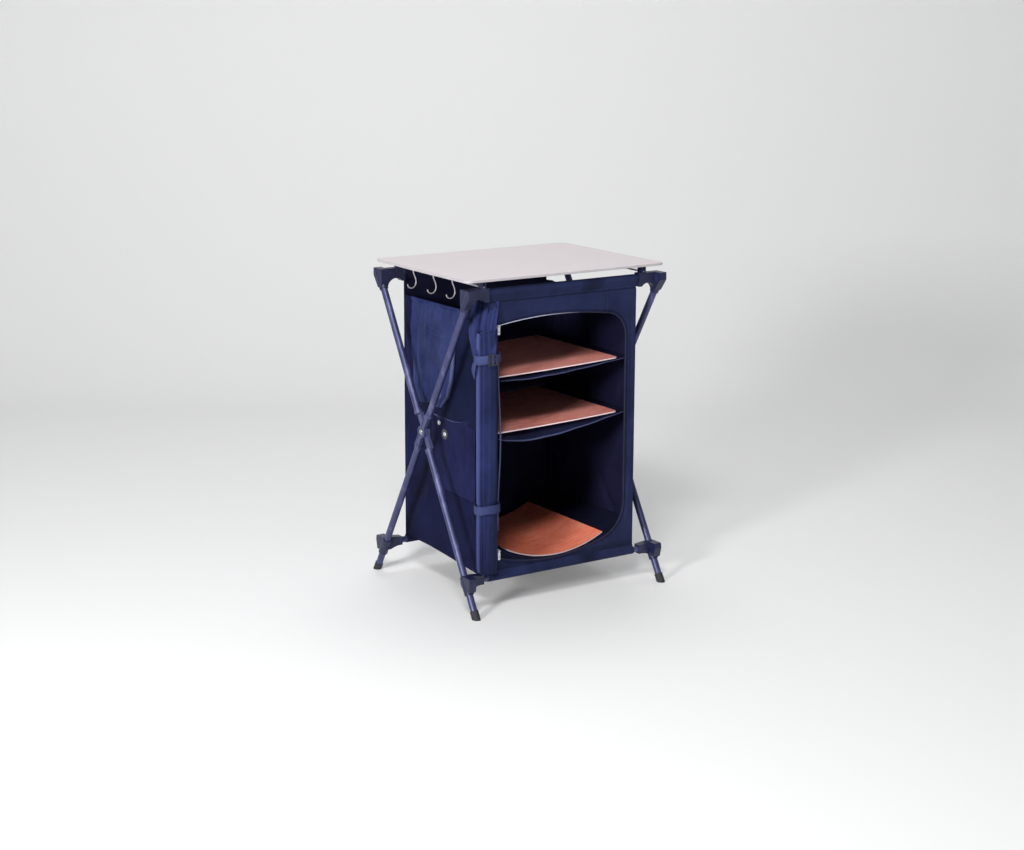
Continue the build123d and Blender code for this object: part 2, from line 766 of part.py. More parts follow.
# Left wall: a patch pocket with an eyelet and press studs, and a gear bag above it.
wall_face = -box_half_x - fabric_gap
pocket_middle_y = (pocket_front_y + pocket_back_y) / 2
with BuildPart() as side_pocket:
    with BuildSketch(Plane.YZ.offset(wall_face)):
        with Locations((pocket_middle_y, pocket_top_z - pocket_height / 2)):
            Rectangle(pocket_back_y - pocket_front_y, pocket_height)
    extrude(amount=-cloth)
save(side_pocket.part, "side_pocket")

pocket_face = wall_face - cloth - plug_fit
with BuildPart() as pocket_eyelet:
    with BuildSketch(Plane.YZ.offset(pocket_face)):
        with Locations((eyelet_y, pocket_top_z - eyelet_drop)):
            Circle(eyelet_radius)
            Circle(eyelet_hole, mode=Mode.SUBTRACT)
    extrude(amount=-eyelet_height)
    fillet(pocket_eyelet.edges().group_by(Axis.X)[0], 0.9)
save(pocket_eyelet.part, "pocket_eyelet")

with BuildPart() as pocket_stud:
    with BuildSketch(Plane.YZ.offset(pocket_face)):
        with Locations(
            (stud_y, pocket_top_z - stud_drop), (eyelet_y, pocket_top_z - eyelet_drop)
        ):
            Circle(stud_radius)
    extrude(amount=-stud_height)
    fillet(pocket_stud.edges().group_by(Axis.X)[0], 1.6)
save(pocket_stud.part, "pocket_stud")

with BuildPart() as gear_bag:
    with BuildSketch(Plane.YZ.offset(wall_face)):
        with BuildLine():
            Polyline(
                (bag_back_y, bag_top_z),
                (bag_back_y, bag_low_z),
                (bag_front_low_y, bag_low_z),
                (bag_front_bend_y, bag_bend_z),
                (bag_front_top_y, bag_top_z),
                close=True,
            )
        make_face()
    extrude(amount=-bag_depth, taper=bag_slope)
save(gear_bag.part, "gear_bag")
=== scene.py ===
# %% [markdown]
# A folding camping shelf: a worktop on two crossed tube frames, with a fabric cabinet hung
# between them. The hard parts come in as a fixed frame of real size, in metres, with X along
# the worktop, Y towards the back and Z up. This lesson gives them their finishes and makes
# every piece of cloth, webbing and zip as a surface worked out with numpy.

# %% Load the frame
import json
import math

import bpy
import numpy as np
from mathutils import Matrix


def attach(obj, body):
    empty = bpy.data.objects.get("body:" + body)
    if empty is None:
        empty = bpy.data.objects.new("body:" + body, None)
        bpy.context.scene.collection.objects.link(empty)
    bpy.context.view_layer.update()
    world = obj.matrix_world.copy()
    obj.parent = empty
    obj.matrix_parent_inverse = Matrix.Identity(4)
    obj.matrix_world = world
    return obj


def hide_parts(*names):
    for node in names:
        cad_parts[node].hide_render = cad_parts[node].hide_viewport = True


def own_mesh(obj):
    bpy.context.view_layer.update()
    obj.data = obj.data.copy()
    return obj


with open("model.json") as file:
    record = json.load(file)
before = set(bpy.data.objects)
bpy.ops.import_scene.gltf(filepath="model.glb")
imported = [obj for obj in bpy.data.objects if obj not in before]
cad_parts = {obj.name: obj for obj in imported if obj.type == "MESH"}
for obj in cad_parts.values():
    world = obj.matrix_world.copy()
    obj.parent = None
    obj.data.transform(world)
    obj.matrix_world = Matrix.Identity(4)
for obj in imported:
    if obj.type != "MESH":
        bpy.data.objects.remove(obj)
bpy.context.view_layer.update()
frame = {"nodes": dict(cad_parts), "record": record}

slot_of_node = {part["node"]: part["material_slot"] for part in frame["record"]["subparts"]}

# %% [markdown]
# A few sizes of the cabinet are needed again and again, so they are named once. They are the
# same as the frame's: the rails that carry the cloth, the cabinet's walls and the door opening.

# %% Sizes of the cabinet
rail_y = 0.205
top_rail_z, top_rail_radius = 0.813, 0.009
low_rail_z, low_rail_radius = 0.085, 0.008
wall_x = 0.226
wall_top_z = 0.755
door_left, door_right = -0.197, 0.192
door_low_left, door_low = 0.135, 0.110
door_top_left, door_top_mid, door_top_right = 0.727, 0.741, 0.730
upper_corner = 0.062
cloth_thickness, thin_cloth = 0.0012, 0.0009
print("the cabinet is", 2 * wall_x, "m wide and", wall_top_z - low_rail_z, "m tall at its sides")

# %% [markdown]
# Shader maths is easier to read as ordinary expressions. A Signal wraps one socket, and adding
# or multiplying two Signals adds the Math node that does it. A Finish is one material, with one
# method that makes any other node from its type, its settings and what goes into its sockets.


# %% Signals and finishes
def operation(kind):
    """A method that puts the signal, and then what it is given, into one kind of Math node."""
    return lambda self, *others: self.math(kind, self, *others)


class Signal:
    """A value that flows through a material, and that can be added, scaled and compared."""

    def __init__(self, tree, socket):
        self.tree = tree
        self.socket = socket

    def math(self, kind, *values):
        node = self.tree.nodes.new("ShaderNodeMath")
        node.operation = kind
        for place, value in enumerate(values):
            if isinstance(value, Signal):
                self.tree.links.new(value.socket, node.inputs[place])
            else:
                node.inputs[place].default_value = value
        return Signal(self.tree, node.outputs[0])

    __add__ = __radd__ = operation("ADD")
    __mul__ = __rmul__ = operation("MULTIPLY")
    __sub__ = operation("SUBTRACT")
    __truediv__ = operation("DIVIDE")
    __gt__ = operation("GREATER_THAN")
    __lt__ = operation("LESS_THAN")
    sine, size, whole = operation("SINE"), operation("ABSOLUTE"), operation("FLOOR")

    def __rsub__(self, other):
        return self.math("SUBTRACT", other, self)

    def odd(self):
        """One where a whole number is odd, zero where it is even."""
        return self.math("MODULO", self.size(), 2.0)

    def limited(self):
        return self.math("MINIMUM", self.math("MAXIMUM", self, 0.0), 1.0)


class Finish:
    """One material: a Principled skin with its constants set, and a method for other nodes."""

    def __init__(self, name, **constants):
        self.material = bpy.data.materials.new(name)
        self.material.use_nodes = True
        self.tree = self.material.node_tree
        self.skin = self.tree.nodes["Principled BSDF"]
        for socket, value in constants.items():
            self.skin.inputs[socket.replace("_", " ")].default_value = value

    def node(self, kind, settings=None, inputs=None, output=0):
        """Any node: its settings are set first, then its sockets get values or links."""
        made = self.tree.nodes.new(kind)
        for setting, value in (settings or {}).items():
            if setting == "stops":
                for place, (position, colour) in enumerate(value):
                    stops = made.color_ramp.elements
                    stop = stops[place] if place < 2 else stops.new(position)
                    stop.position = position
                    stop.color = (*colour, 1.0)
            else:
                setattr(made, setting, value)
        for socket, value in (inputs or {}).items():
            if isinstance(value, Signal):
                self.tree.links.new(value.socket, made.inputs[socket])
            else:
                made.inputs[socket].default_value = value
        return Signal(self.tree, made.outputs[output])

    def feed(self, socket, signal):
        """Links a signal to one of the skin's sockets."""
        self.tree.links.new(signal.socket, self.skin.inputs[socket])

    def blend(self, share, low, high):
        """Colour that goes from low to high as share goes from 0 to 1."""
        low = low if isinstance(low, Signal) else (*low, 1.0)
        high = high if isinstance(high, Signal) else (*high, 1.0)
        inputs = {0: share, 6: low, 7: high}
        return self.node("ShaderNodeMix", {"data_type": "RGBA"}, inputs, output=2)

    def place(self):
        """Where a point is on the object, in metres."""
        return self.node("ShaderNodeTexCoord", output=3)

    def cloth_place(self):
        """Where a point is on the piece's own cloth, in metres of cloth."""
        return self.node("ShaderNodeUVMap", {"uv_map": "cloth"})

    def split(self, vector):
        """The three parts of a place."""
        made = self.tree.nodes.new("ShaderNodeSeparateXYZ")
        self.tree.links.new(vector.socket, made.inputs[0])
        return [Signal(self.tree, made.outputs[k]) for k in range(3)]

    def noise(self, vector, scale, detail=3.0, roughness=0.5, stretch=(1, 1, 1)):
        """Soft random variation between 0 and 1."""
        scaled = self.node("ShaderNodeMapping", {"vector_type": "POINT"}, {0: vector, 3: stretch})
        inputs = {"Vector": scaled, "Scale": scale, "Detail": detail, "Roughness": roughness}
        return self.node("ShaderNodeTexNoise", None, inputs)

    def bump(self, height, strength, distance):
        """Raises the surface by a height signal; distance is in metres."""
        self.feed("Normal", self.node(
            "ShaderNodeBump", None, {"Strength": strength, "Distance": distance, "Height": height}))


print("helpers for finishes are ready")

# %% [markdown]
# Most hard finishes are made the same way: one noise picks a colour between two and the gloss
# with it. Wear sharpens the change of colour, and a grain is a second, finer noise in the bump.


# %% Finishes of two colours
def speckled(name, low, high, gloss, noise, wear=None, grain=None, **constants):
    """Colour from low to high by a noise; roughness is gloss[0] plus gloss[1] times the noise."""
    made = Finish(name, **constants)
    cloud = made.noise(made.place(), *noise)
    share = ((cloud - wear[0]) * wear[1]).limited() if wear else cloud
    made.feed("Base Color", made.blend(share, low, high))
    made.feed("Roughness", gloss[0] + gloss[1] * cloud)
    if grain:
        scale, detail, strength, distance = grain
        made.bump(made.noise(made.place(), scale, detail), strength, distance)
    return made


print("two-colour finishes can be made")

# %% [markdown]
# The real worktop is an off-white laminate with a satin sheen and a plastic rim a little darker
# than it. A faint cloudiness in its colour and in its gloss keeps it from looking like a flat
# fill. The underside is coloured nearly black: painted shade for the shadow under the worktop.

# %% Worktop finishes
board = Finish("worktop_laminate", Roughness=0.4)
cloud = board.noise(board.place(), 9.0, 4.0)
grain = board.noise(board.place(), 900.0, 2.0)
laminate = board.blend(cloud, (0.74, 0.665, 0.69), (0.80, 0.725, 0.745))
# Painted shade: the underside gets a near-black colour that stands for the shadow under the board.
painted_underside_shade = board.blend(cloud, (0.075, 0.065, 0.075), (0.12, 0.10, 0.11))
underneath = board.split(board.node("ShaderNodeNewGeometry", output=3))[2] < -0.5
board.feed("Base Color", board.blend(underneath, laminate, painted_underside_shade))
board.feed("Roughness", 0.34 + 0.14 * cloud)
board.bump(grain, 0.12, 0.0003)

rim = speckled("worktop_rim_plastic", (0.50, 0.47, 0.50), (0.60, 0.56, 0.59), (0.26, 0.14),
               (40.0, 3.0), Roughness=0.32)
print("worktop finishes:", board.material.name, rim.material.name)

# %% [markdown]
# The legs are steel tubes in a blue-violet satin paint. Paint has a fine orange-peel texture
# and rubs off a little where it is handled, so noise drives the colour, the gloss and a small
# bump. The links at the crossing are moulded in nearly the same colour, and the other joints in
# nearly black plastic with a fine spark-eroded grain that scuffs lighter.

# %% Paint, mouldings and rubber
paint = speckled("leg_paint", (0.052, 0.057, 0.150), (0.130, 0.138, 0.29), (0.28, 0.2),
                 (34.0, 5.0, 0.65, (1, 1, 0.25)), wear=(0.52, 6.0),
                 grain=(420.0, 2.0, 0.2, 0.0004), Metallic=0.3, Roughness=0.38)
link_grey = speckled("link_moulding", (0.030, 0.034, 0.090), (0.095, 0.104, 0.24), (0.32, 0.2),
                     (60.0, 5.0, 0.7), grain=(700.0, 2.0, 0.25, 0.0003), Roughness=0.42)
moulded = speckled("joint_moulding", (0.013, 0.016, 0.055), (0.048, 0.054, 0.15), (0.28, 0.24),
                   (55.0, 5.0, 0.7), wear=(0.55, 5.0), grain=(1400.0, 2.0, 0.25, 0.0003),
                   Roughness=0.4)
rubber = speckled("foot_rubber", (0.012, 0.012, 0.018), (0.04, 0.04, 0.05), (0.62, 0.25),
                  (120.0, 4.0), grain=(120.0, 4.0, 0.2, 0.0005), Roughness=0.75)
print("paint, moulding and rubber are ready")

# %% [markdown]
# Bright metal is mostly reflection. The side rods and hooks are plated wire, the rivets are
# turned steel, the zip's sliders are pale cast metal, and the buckle and eyelet are a glossy
# dark moulding. Faint streaks along the wire change the gloss. The wire's plating is pale and a
# little milky, so it isn't all metal.

# %% Metals and gloss
wire = speckled("plated_wire", (0.42, 0.40, 0.44), (0.74, 0.70, 0.74), (0.24, 0.18),
                (260.0, 3.0, 0.6, (1, 0.1, 1)), Metallic=0.3, Roughness=0.2)
steel = speckled("turned_steel", (0.42, 0.42, 0.44), (0.6, 0.6, 0.62), (0.25, 0.2),
                 (600.0, 3.0, 0.6), Metallic=1.0, Roughness=0.34)
gloss = speckled("gloss_trim", (0.02, 0.02, 0.035), (0.05, 0.05, 0.075), (0.15, 0.12),
                 (200.0, 3.0), Roughness=0.2)
zip_metal = speckled("zip_slider_metal", (0.62, 0.64, 0.72), (0.86, 0.87, 0.92), (0.2, 0.12),
                     (500.0, 2.0), Metallic=0.4, Roughness=0.25)
print("metals are ready")

# %% [markdown]
# The shelf boards are thin fibreboard with a printed wood grain in orange-brown and a pale edge.
# Printed grain is short and speckled: fine stretched noise for the pores and the speckle, a
# broader one for the figure, and a slow one for the difference from board to board. The bottom
# board's print is redder. Where the surface turns away from level the colour goes over to the
# pale edge.

# %% Wood print
wood = Finish("printed_wood", Roughness=0.42)
wood_place = wood.place()
figure = wood.noise(wood_place, 26.0, 5.0, 0.62, (0.8, 3.0, 1))
pores = wood.noise(wood_place, 170.0, 4.0, 0.75, (0.35, 2.4, 1))
slow = wood.noise(wood_place, 6.0, 2.0, 0.5)
speckle = wood.noise(wood_place, 420.0, 2.0, 0.6, (0.6, 1.6, 1))
tone = (0.40 * figure + 0.50 * pores + 0.35 * speckle + 0.30 * slow - 0.27).limited()
pink_stops = [(0.30, (0.52, 0.135, 0.090)), (0.72, (1.0, 0.50, 0.48)), (0.5, (0.88, 0.31, 0.25))]
red_stops = [(0.30, (0.60, 0.11, 0.055)), (0.72, (1.0, 0.40, 0.28)), (0.5, (0.95, 0.235, 0.14))]
pink = wood.node("ShaderNodeValToRGB", {"stops": pink_stops}, {"Fac": tone})
red = wood.node("ShaderNodeValToRGB", {"stops": red_stops}, {"Fac": tone})
raised_board = wood.split(wood_place)[2] > 0.25
slope = wood.split(wood.node("ShaderNodeNewGeometry", output=3))[2].size()
edge_band = slope < 0.5
print_colour = wood.blend(raised_board, red, pink)
wood.feed("Base Color", wood.blend(edge_band, print_colour, (0.97, 0.80, 0.82)))
wood.feed("Roughness", 0.36 + 0.2 * pores)
wood.bump(pores, 0.2, 0.0004)
print("wood print is ready")

# %% [markdown]
# The cabinet is woven polyester, dark navy. A plain weave is a checkerboard in which warp and
# weft take turns on top: where the square's row and column add up to an even number the warp
# shows, otherwise the weft. Each thread is a rounded ridge, a sine across it. The cloth's own
# UV map is in metres, so the threads keep their size on every piece. A stripe is a line of
# another colour along the cloth, such as a hem, a seam or a painted highlight on a crest.
# Crumple is how deep the small wrinkles are, in thread heights. The inside shade is painted
# shade: a darker colour on faces whose outward direction points towards the cabinet's middle,
# so place times direction is negative.


# %% Woven cloth
def woven(name, deep, lit, pitch=0.0009, ridge=0.5, warm=None, stripes=(), crumple=0.0,
          inside_shade=None, **constants):
    """Woven finish: thread height is |sin| across warp or weft, chosen by the checkerboard."""
    made = Finish(name, Specular_IOR_Level=0.12, **constants)
    across, along, _ = made.split(made.cloth_place())
    column, row = across / pitch, along / pitch
    parity = (column.whole() + row.whole()).odd()
    warp = (column * math.pi).sine().size()
    weft = (row * math.pi).sine().size()
    thread = warp * parity + weft * (1.0 - parity)
    fade = made.noise(made.place(), 8.0, 5.0, 0.62)
    fleck = made.noise(made.place(), 480.0, 2.0)
    tint = made.noise(made.place(), 3.1, 2.0, 0.5)
    wrinkle = made.noise(made.place(), 30.0, 4.0, 0.55, (1, 1, 0.55))
    # Painted shade: the colour is darker where the threads and the small wrinkles are low, the same
    # heights that go into the bump.
    tone = (fade * 1.5 + wrinkle * 0.5 + fleck * 0.35 + thread * 0.25 - 0.85).limited()
    hue = ((tint - 0.42) * 4.0).limited()
    faded = made.blend(tone, deep, lit)
    colour = made.blend(hue * 0.45, faded, made.blend(tone, deep, warm or lit))
    for axis, middle, width, strength, shade in stripes:
        away = ((across, along)[axis] - middle).size() / width
        colour = made.blend((1.0 - away * away).limited() * strength, colour, shade)
    # Painted shade: faces that look towards the cabinet's middle take a darker colour, for the dark
    # inside.
    if inside_shade:
        point = made.split(made.place())
        normal = made.split(made.node("ShaderNodeNewGeometry", output=3))
        inside = point[0] * normal[0] + point[1] * normal[1] < 0.0
        colour = made.blend(inside, colour, made.blend(tone, (0.5 * v for v in inside_shade), inside_shade))
    made.feed("Base Color", colour)
    made.feed("Roughness", 0.72 + 0.16 * fleck)
    made.bump(thread + fleck * 0.6 + wrinkle * crumple, ridge, pitch * 0.3)
    return made


soft_sheen = {"Sheen_Weight": 0.10, "Sheen_Roughness": 0.5, "Sheen_Tint": (0.4, 0.55, 1.0, 1.0)}
pale_hem_and_highlight, dark_thread = (0.13, 0.15, 0.30), (0.002, 0.002, 0.008)
painted_inside_shade = (0.0115, 0.0120, 0.045)
# The navy is darker in a band along the bottom, below about 0.12 m, and has a dark line near the
# top.
navy = woven("navy_cloth", (0.0060, 0.0090, 0.033), (0.024, 0.034, 0.112),
             warm=(0.034, 0.033, 0.090), crumple=5.0, inside_shade=painted_inside_shade, **soft_sheen,
             stripes=[(1, 0.7885, 0.0022, 0.8, dark_thread), (1, 0.084, 0.040, 0.6, dark_thread)])
# Painted shade: the side walls get a darker copy of the same navy.
shaded_navy = woven("wall_cloth_painted_shade", (0.0014, 0.0020, 0.012), (0.0105, 0.0130, 0.070),
                    warm=(0.015, 0.0115, 0.050), crumple=9.0, inside_shade=painted_inside_shade)
# Painted shade: the floor inside the cabinet gets a darker copy of the navy.
floor_navy_painted_shade = woven("floor_cloth_painted_shade", (0.0022, 0.0026, 0.010), (0.0075, 0.0085, 0.030),
                   crumple=5.0)
# Painted light: the bag, the corner cloth and the elastic get a lighter copy of the navy.
painted_light_navy = woven("bag_cloth_painted_light", (0.0060, 0.0090, 0.038), (0.038, 0.056, 0.200),
                    warm=(0.046, 0.049, 0.144), crumple=9.0, **soft_sheen)
# Painted shade: the pocket gets a darker copy of the navy; its pale stripe is the top hem.
pocket_navy_painted_shade = woven("pocket_cloth_painted_shade", (0.0024, 0.0032, 0.018), (0.0180, 0.0220, 0.102),
                    warm=(0.023, 0.0180, 0.072), crumple=9.0,
                    stripes=[(1, 0.4604, 0.0024, 1.0, pale_hem_and_highlight)])
roll_crest = 0.2386
# Painted light: the roll gets a lighter copy of the navy, darker towards its bottom, with a painted
# highlight along its crest and two dark lines beside it.
roll_navy_painted_light = woven("roll_cloth_painted_light", (0.0060, 0.0086, 0.038), (0.030, 0.044, 0.165),
                  warm=(0.038, 0.040, 0.120), crumple=6.0, **soft_sheen,
                  stripes=[(1, 0.120, 0.140, 0.6, (0.0040, 0.0050, 0.024)),
                           (0, roll_crest, 0.0110, 0.8, (0.070, 0.084, 0.25)),
                           (0, roll_crest - 0.0125, 0.0011, 0.8, dark_thread),
                           (0, roll_crest - 0.0155, 0.0011, 0.8, dark_thread)])
# Painted shade: the slings get a darker copy of the navy, with a painted highlight along the front
# edge.
sling_navy_painted_shade = woven("sling_cloth_painted_shade", (0.0030, 0.0040, 0.016), (0.0125, 0.0165, 0.058),
                   stripes=[(1, -0.1888, 0.0020, 0.6, pale_hem_and_highlight)])
# Painted shade: a near-black sheet colour for the dark zone on the left wall between the bag and
# the pocket.
shade_sheet = woven("painted_shade_sheet", (0.0020, 0.0032, 0.015), (0.0095, 0.0150, 0.062), 0.0016, 0.9)
webbing = woven("strap_webbing", (0.028, 0.036, 0.110), (0.085, 0.108, 0.27), 0.0014, 0.8)
# Painted light: the facing gets a lighter copy of the navy, with a painted highlight along each
# rib.
facing_navy_painted_light = woven("facing_weave_painted_light", (0.0090, 0.0125, 0.050), (0.036, 0.050, 0.170),
                    stripes=[(0, 0.0022, 0.0030, 0.9, pale_hem_and_highlight),
                             (0, 0.0238, 0.0030, 0.9, pale_hem_and_highlight)])
tape = woven("zip_tape_cloth", (0.006, 0.007, 0.026), (0.020, 0.024, 0.075), 0.0008)
piping = woven("edge_binding", (0.065, 0.072, 0.15), (0.17, 0.18, 0.31), 0.0008)
chain = Finish("zip_chain_nylon", Roughness=0.35)
chain_glint = chain.noise(chain.place(), 260.0, 3.0, 0.7)
chain_x, _, chain_z = chain.split(chain.place())
# Painted highlight: the chain is bright along the head of the opening, above 0.70 m and left of x =
# 0.05 m, and dark elsewhere.
painted_highlight_mask = ((chain_z - 0.700) * 40.0).limited() * ((0.05 - chain_x) * 9.0).limited()
painted_highlight_teeth = chain.blend(chain_glint, (0.22, 0.24, 0.42), (0.80, 0.82, 0.95))
dull_teeth = chain.blend(chain_glint, (0.005, 0.006, 0.018), (0.026, 0.028, 0.050))
chain.feed("Base Color", chain.blend(painted_highlight_mask, dull_teeth, painted_highlight_teeth))
chain.feed("Roughness", 0.62 - 0.34 * painted_highlight_mask + 0.12 * chain_glint)
print("cloth finishes are ready")

# %% [markdown]
# Each hard part keeps the shape that the frame gives it and takes the finish of its slot.

# %% Dress the hard parts
finish_of_slot = {
    "board_top": board, "board_rim": rim, "tube": paint, "rail": paint, "link": link_grey,
    "moulding": moulded, "rubber": rubber, "rivet": steel, "rod": wire, "fabric": navy,
    "webbing": webbing, "zip": tape, "zip_metal": zip_metal, "shelf": wood, "trim": gloss,
}
for node_name, solid in frame["nodes"].items():
    solid.data.materials.clear()
    solid.data.materials.append(finish_of_slot[slot_of_node[node_name]].material)
print("dressed", len(frame["nodes"]), "solids")

# %% [markdown]
# Every soft piece below is a grid of points, worked out as whole arrays. A grid's columns run
# with u and its rows with v. It also carries a UV map in metres of cloth. Where a surface goes
# once round, such as a sleeve, its last column joins its first.


# %% Grids become meshes
def lay_grid(name, x, y, z, across, along, closed=False, flipped=False):
    """Mesh of the points (x, y, z); across and along are the cloth coordinates in metres.

    Flipped takes the points of each row in the other order, which turns the faces over.
    """
    if flipped:
        x, y, z = (part[:, ::-1] for part in (x, y, z))
    rows, columns = x.shape
    steps = columns if closed else columns - 1
    row, column = np.meshgrid(np.arange(rows - 1), np.arange(steps), indexing="ij")
    beside = (column + 1) % columns
    faces = np.stack(
        [row * columns + column, row * columns + beside,
         (row + 1) * columns + beside, (row + 1) * columns + column], axis=-1).reshape(-1, 4)
    mesh = bpy.data.meshes.new(name)
    mesh.from_pydata(np.stack([x, y, z], axis=-1).reshape(-1, 3).tolist(), [], faces.tolist())
    cloth = np.stack([across, along], axis=-1)
    corners = np.stack(
        [cloth[row, column], cloth[row, column + 1],
         cloth[row + 1, column + 1], cloth[row + 1, column]], axis=2)
    mesh.uv_layers.new(name="cloth").data.foreach_set("uv", corners.astype(np.float32).ravel())
    mesh.shade_smooth()
    piece = bpy.data.objects.new(name, mesh)
    bpy.context.scene.collection.objects.link(piece)
    return piece


def dress(piece, finish, body, replaced=(), thickness=None):
    """Gives a piece its finish, its body and, for a sheet, its thickness."""
    piece.data.materials.append(finish.material)
    if thickness:
        wall = piece.modifiers.new("cloth", "SOLIDIFY")
        wall.thickness = thickness
        wall.offset = 0.0
    if replaced:
        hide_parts(*replaced)
    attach(piece, body)
    print(f"{piece.name}: {len(piece.data.polygons)} faces on {body}")


def sew(piece, finish, body, replaced, thickness):
    """Dresses a sheet and says how it is held; cloth on the cabinet also gets a mesh of its own."""
    dress(piece, finish, body, replaced, thickness)
    if body == "cabinet":
        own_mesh(piece)


def span(start, end, count):
    return np.linspace(start, end, count)


def clamp(values):
    return np.clip(values, 0, 1)


def arch(share):
    """Half a sine wave: zero at share 0, one in the middle and zero at share 1."""
    return np.sin(np.pi * share)


def bell(away):
    """One at the middle, fading with the square of the distance."""
    return np.exp(-(away ** 2))


def creases(s, t, folds):
    """Sum of folds: each is depth times exp of minus (distance to a line piece / width) squared."""
    raised = np.zeros_like(s)
    for s0, t0, s1, t1, width, depth in folds:
        run_s, run_t = s1 - s0, t1 - t0
        share = clamp(((s - s0) * run_s + (t - t0) * run_t) / (run_s**2 + run_t**2))
        away = np.hypot(s - s0 - share * run_s, t - t0 - share * run_t)
        fading = arch(clamp(0.15 + 0.7 * share))
        raised += depth * fading * bell(away / width)
    return raised


def gathers(s, t, seed, count, depth, reach):
    """Gathers under an elastic edge: each is a bell-shaped ridge at its own s that fades with t."""
    draw = np.random.default_rng(seed)
    raised = 0 * (s + t)
    for _ in range(count):
        middle, width, drift = draw.uniform(0, 1), draw.uniform(0.006, 0.022), draw.normal(0, 0.03)
        length = reach * draw.uniform(0.3, 1.6)
        away = (s - middle - drift * t / reach) / width
        raised = raised + draw.uniform(0.4, 1.0) * np.exp(-(away**2) - t / length)
    return depth * raised


def ripple(s, t, seed, depth):
    """Slow waviness of slack cloth: a few sine waves of unlike length and direction, added."""
    draw = np.random.default_rng(seed)
    raised = np.zeros_like(s)
    for _ in range(7):
        turn, wave, phase = draw.uniform(0, np.pi), draw.uniform(0.07, 0.26), draw.uniform(0, 6.28)
        raised += np.sin(2 * np.pi * (s * np.cos(turn) + t * np.sin(turn)) / wave + phase)
    return depth * raised / 7


print("helpers for cloth are ready")

# %% [markdown]
# The front is one cloth with a door cut out of it. Its surface is a ring: u goes once round the
# door opening and v goes from the opening's edge out to the panel's edge. Each point of the
# opening looks straight outwards, and at a rounded corner along the radius, until it meets the
# panel's outline.

# %% Door outline
side_count, corner_count, fan_count = 70, 26, 12
corner_start, corner_middle, corner_end_z = (0.128, 0.137), (0.174, 0.170), 0.215


def arc_through(start, middle, end, count):
    """Arc of the circle through three points; each point looks away from the centre."""
    (x1, z1), (x2, z2), (x3, z3) = start, middle, end
    twice = 2 * (x1 * (z2 - z3) + x2 * (z3 - z1) + x3 * (z1 - z2))
    far1, far2, far3 = x1**2 + z1**2, x2**2 + z2**2, x3**2 + z3**2
    centre_x = (far1 * (z2 - z3) + far2 * (z3 - z1) + far3 * (z1 - z2)) / twice
    centre_z = (far1 * (x3 - x2) + far2 * (x1 - x3) + far3 * (x2 - x1)) / twice
    first = math.atan2(z1 - centre_z, x1 - centre_x)
    last = math.atan2(z3 - centre_z, x3 - centre_x)
    turn = span(first, last, count)
    radius = math.hypot(x1 - centre_x, z1 - centre_z)
    return centre_x + radius * np.cos(turn), centre_z + radius * np.sin(turn), turn


def side_line(x, z0, z1, turn):
    return np.full(side_count, x), span(z0, z1, side_count), np.full(side_count, turn)


def fan(x, z, first, last):
    """One corner point seen in a fan of directions."""
    return np.full(fan_count, x), np.full(fan_count, z), span(first, last, fan_count)


def door_outline():
    """Sill, right corner, right side, upper corner, head, and then the left side with two fans."""
    corner = upper_corner * (1 - math.sqrt(0.5))
    sill = arc_through((door_left, door_low_left), (-0.030, door_low), corner_start, side_count)
    low = arc_through(corner_start, corner_middle, (door_right, corner_end_z), corner_count)
    right = side_line(door_right, corner_end_z, door_top_right - upper_corner, 0.0)
    high = arc_through((door_right, door_top_right - upper_corner),
                       (door_right - corner, door_top_right - corner),
                       (door_right - upper_corner, door_top_right), corner_count)
    head = arc_through((door_right - upper_corner, door_top_right), (0, door_top_mid),
                       (door_left, door_top_left), side_count)
    upper_fan = fan(door_left, door_top_left, head[2][-1], math.pi)
    left = side_line(door_left, door_top_left, door_low_left, math.pi)
    lower_fan = fan(door_left, door_low_left, math.pi, sill[2][0] + 2 * math.pi)
    runs = [sill, low, right, high, head, upper_fan, left, lower_fan]
    return tuple(np.concatenate([run[k] for run in runs]) for k in range(3))


free_count = 3 * side_count + 2 * corner_count
edge_x, edge_z, edge_turn = door_outline()
print("door outline has", len(edge_x), "points")

# %% [markdown]
# Each point of the opening's edge now gets its reach: the shorter of the ways to the panel's
# side and to its top or bottom. The folds start at the upper corners, where the rails pull.

# %% Front cloth
panel_low, panel_top = 0.090, 0.796


def front_ring(rings=30):
    """Ring between the opening and the outline: place = edge + v times the reach outwards."""
    dx, dz = np.cos(edge_turn), np.sin(edge_turn)
    with np.errstate(divide="ignore"):
        reach_x = np.where(dx > 1e-9, (wall_x - edge_x) / dx, (-wall_x - edge_x) / dx)
        reach_z = np.where(dz > 1e-9, (panel_top - edge_z) / dz, (panel_low - edge_z) / dz)
    reach_x = np.where(np.abs(dx) < 1e-9, 9.0, reach_x)
    reach_z = np.where(np.abs(dz) < 1e-9, 9.0, reach_z)
    reach = np.minimum(reach_x, reach_z)
    v = span(0, 1, rings)[:, None]
    return edge_x + v * reach * dx, edge_z + v * reach * dz


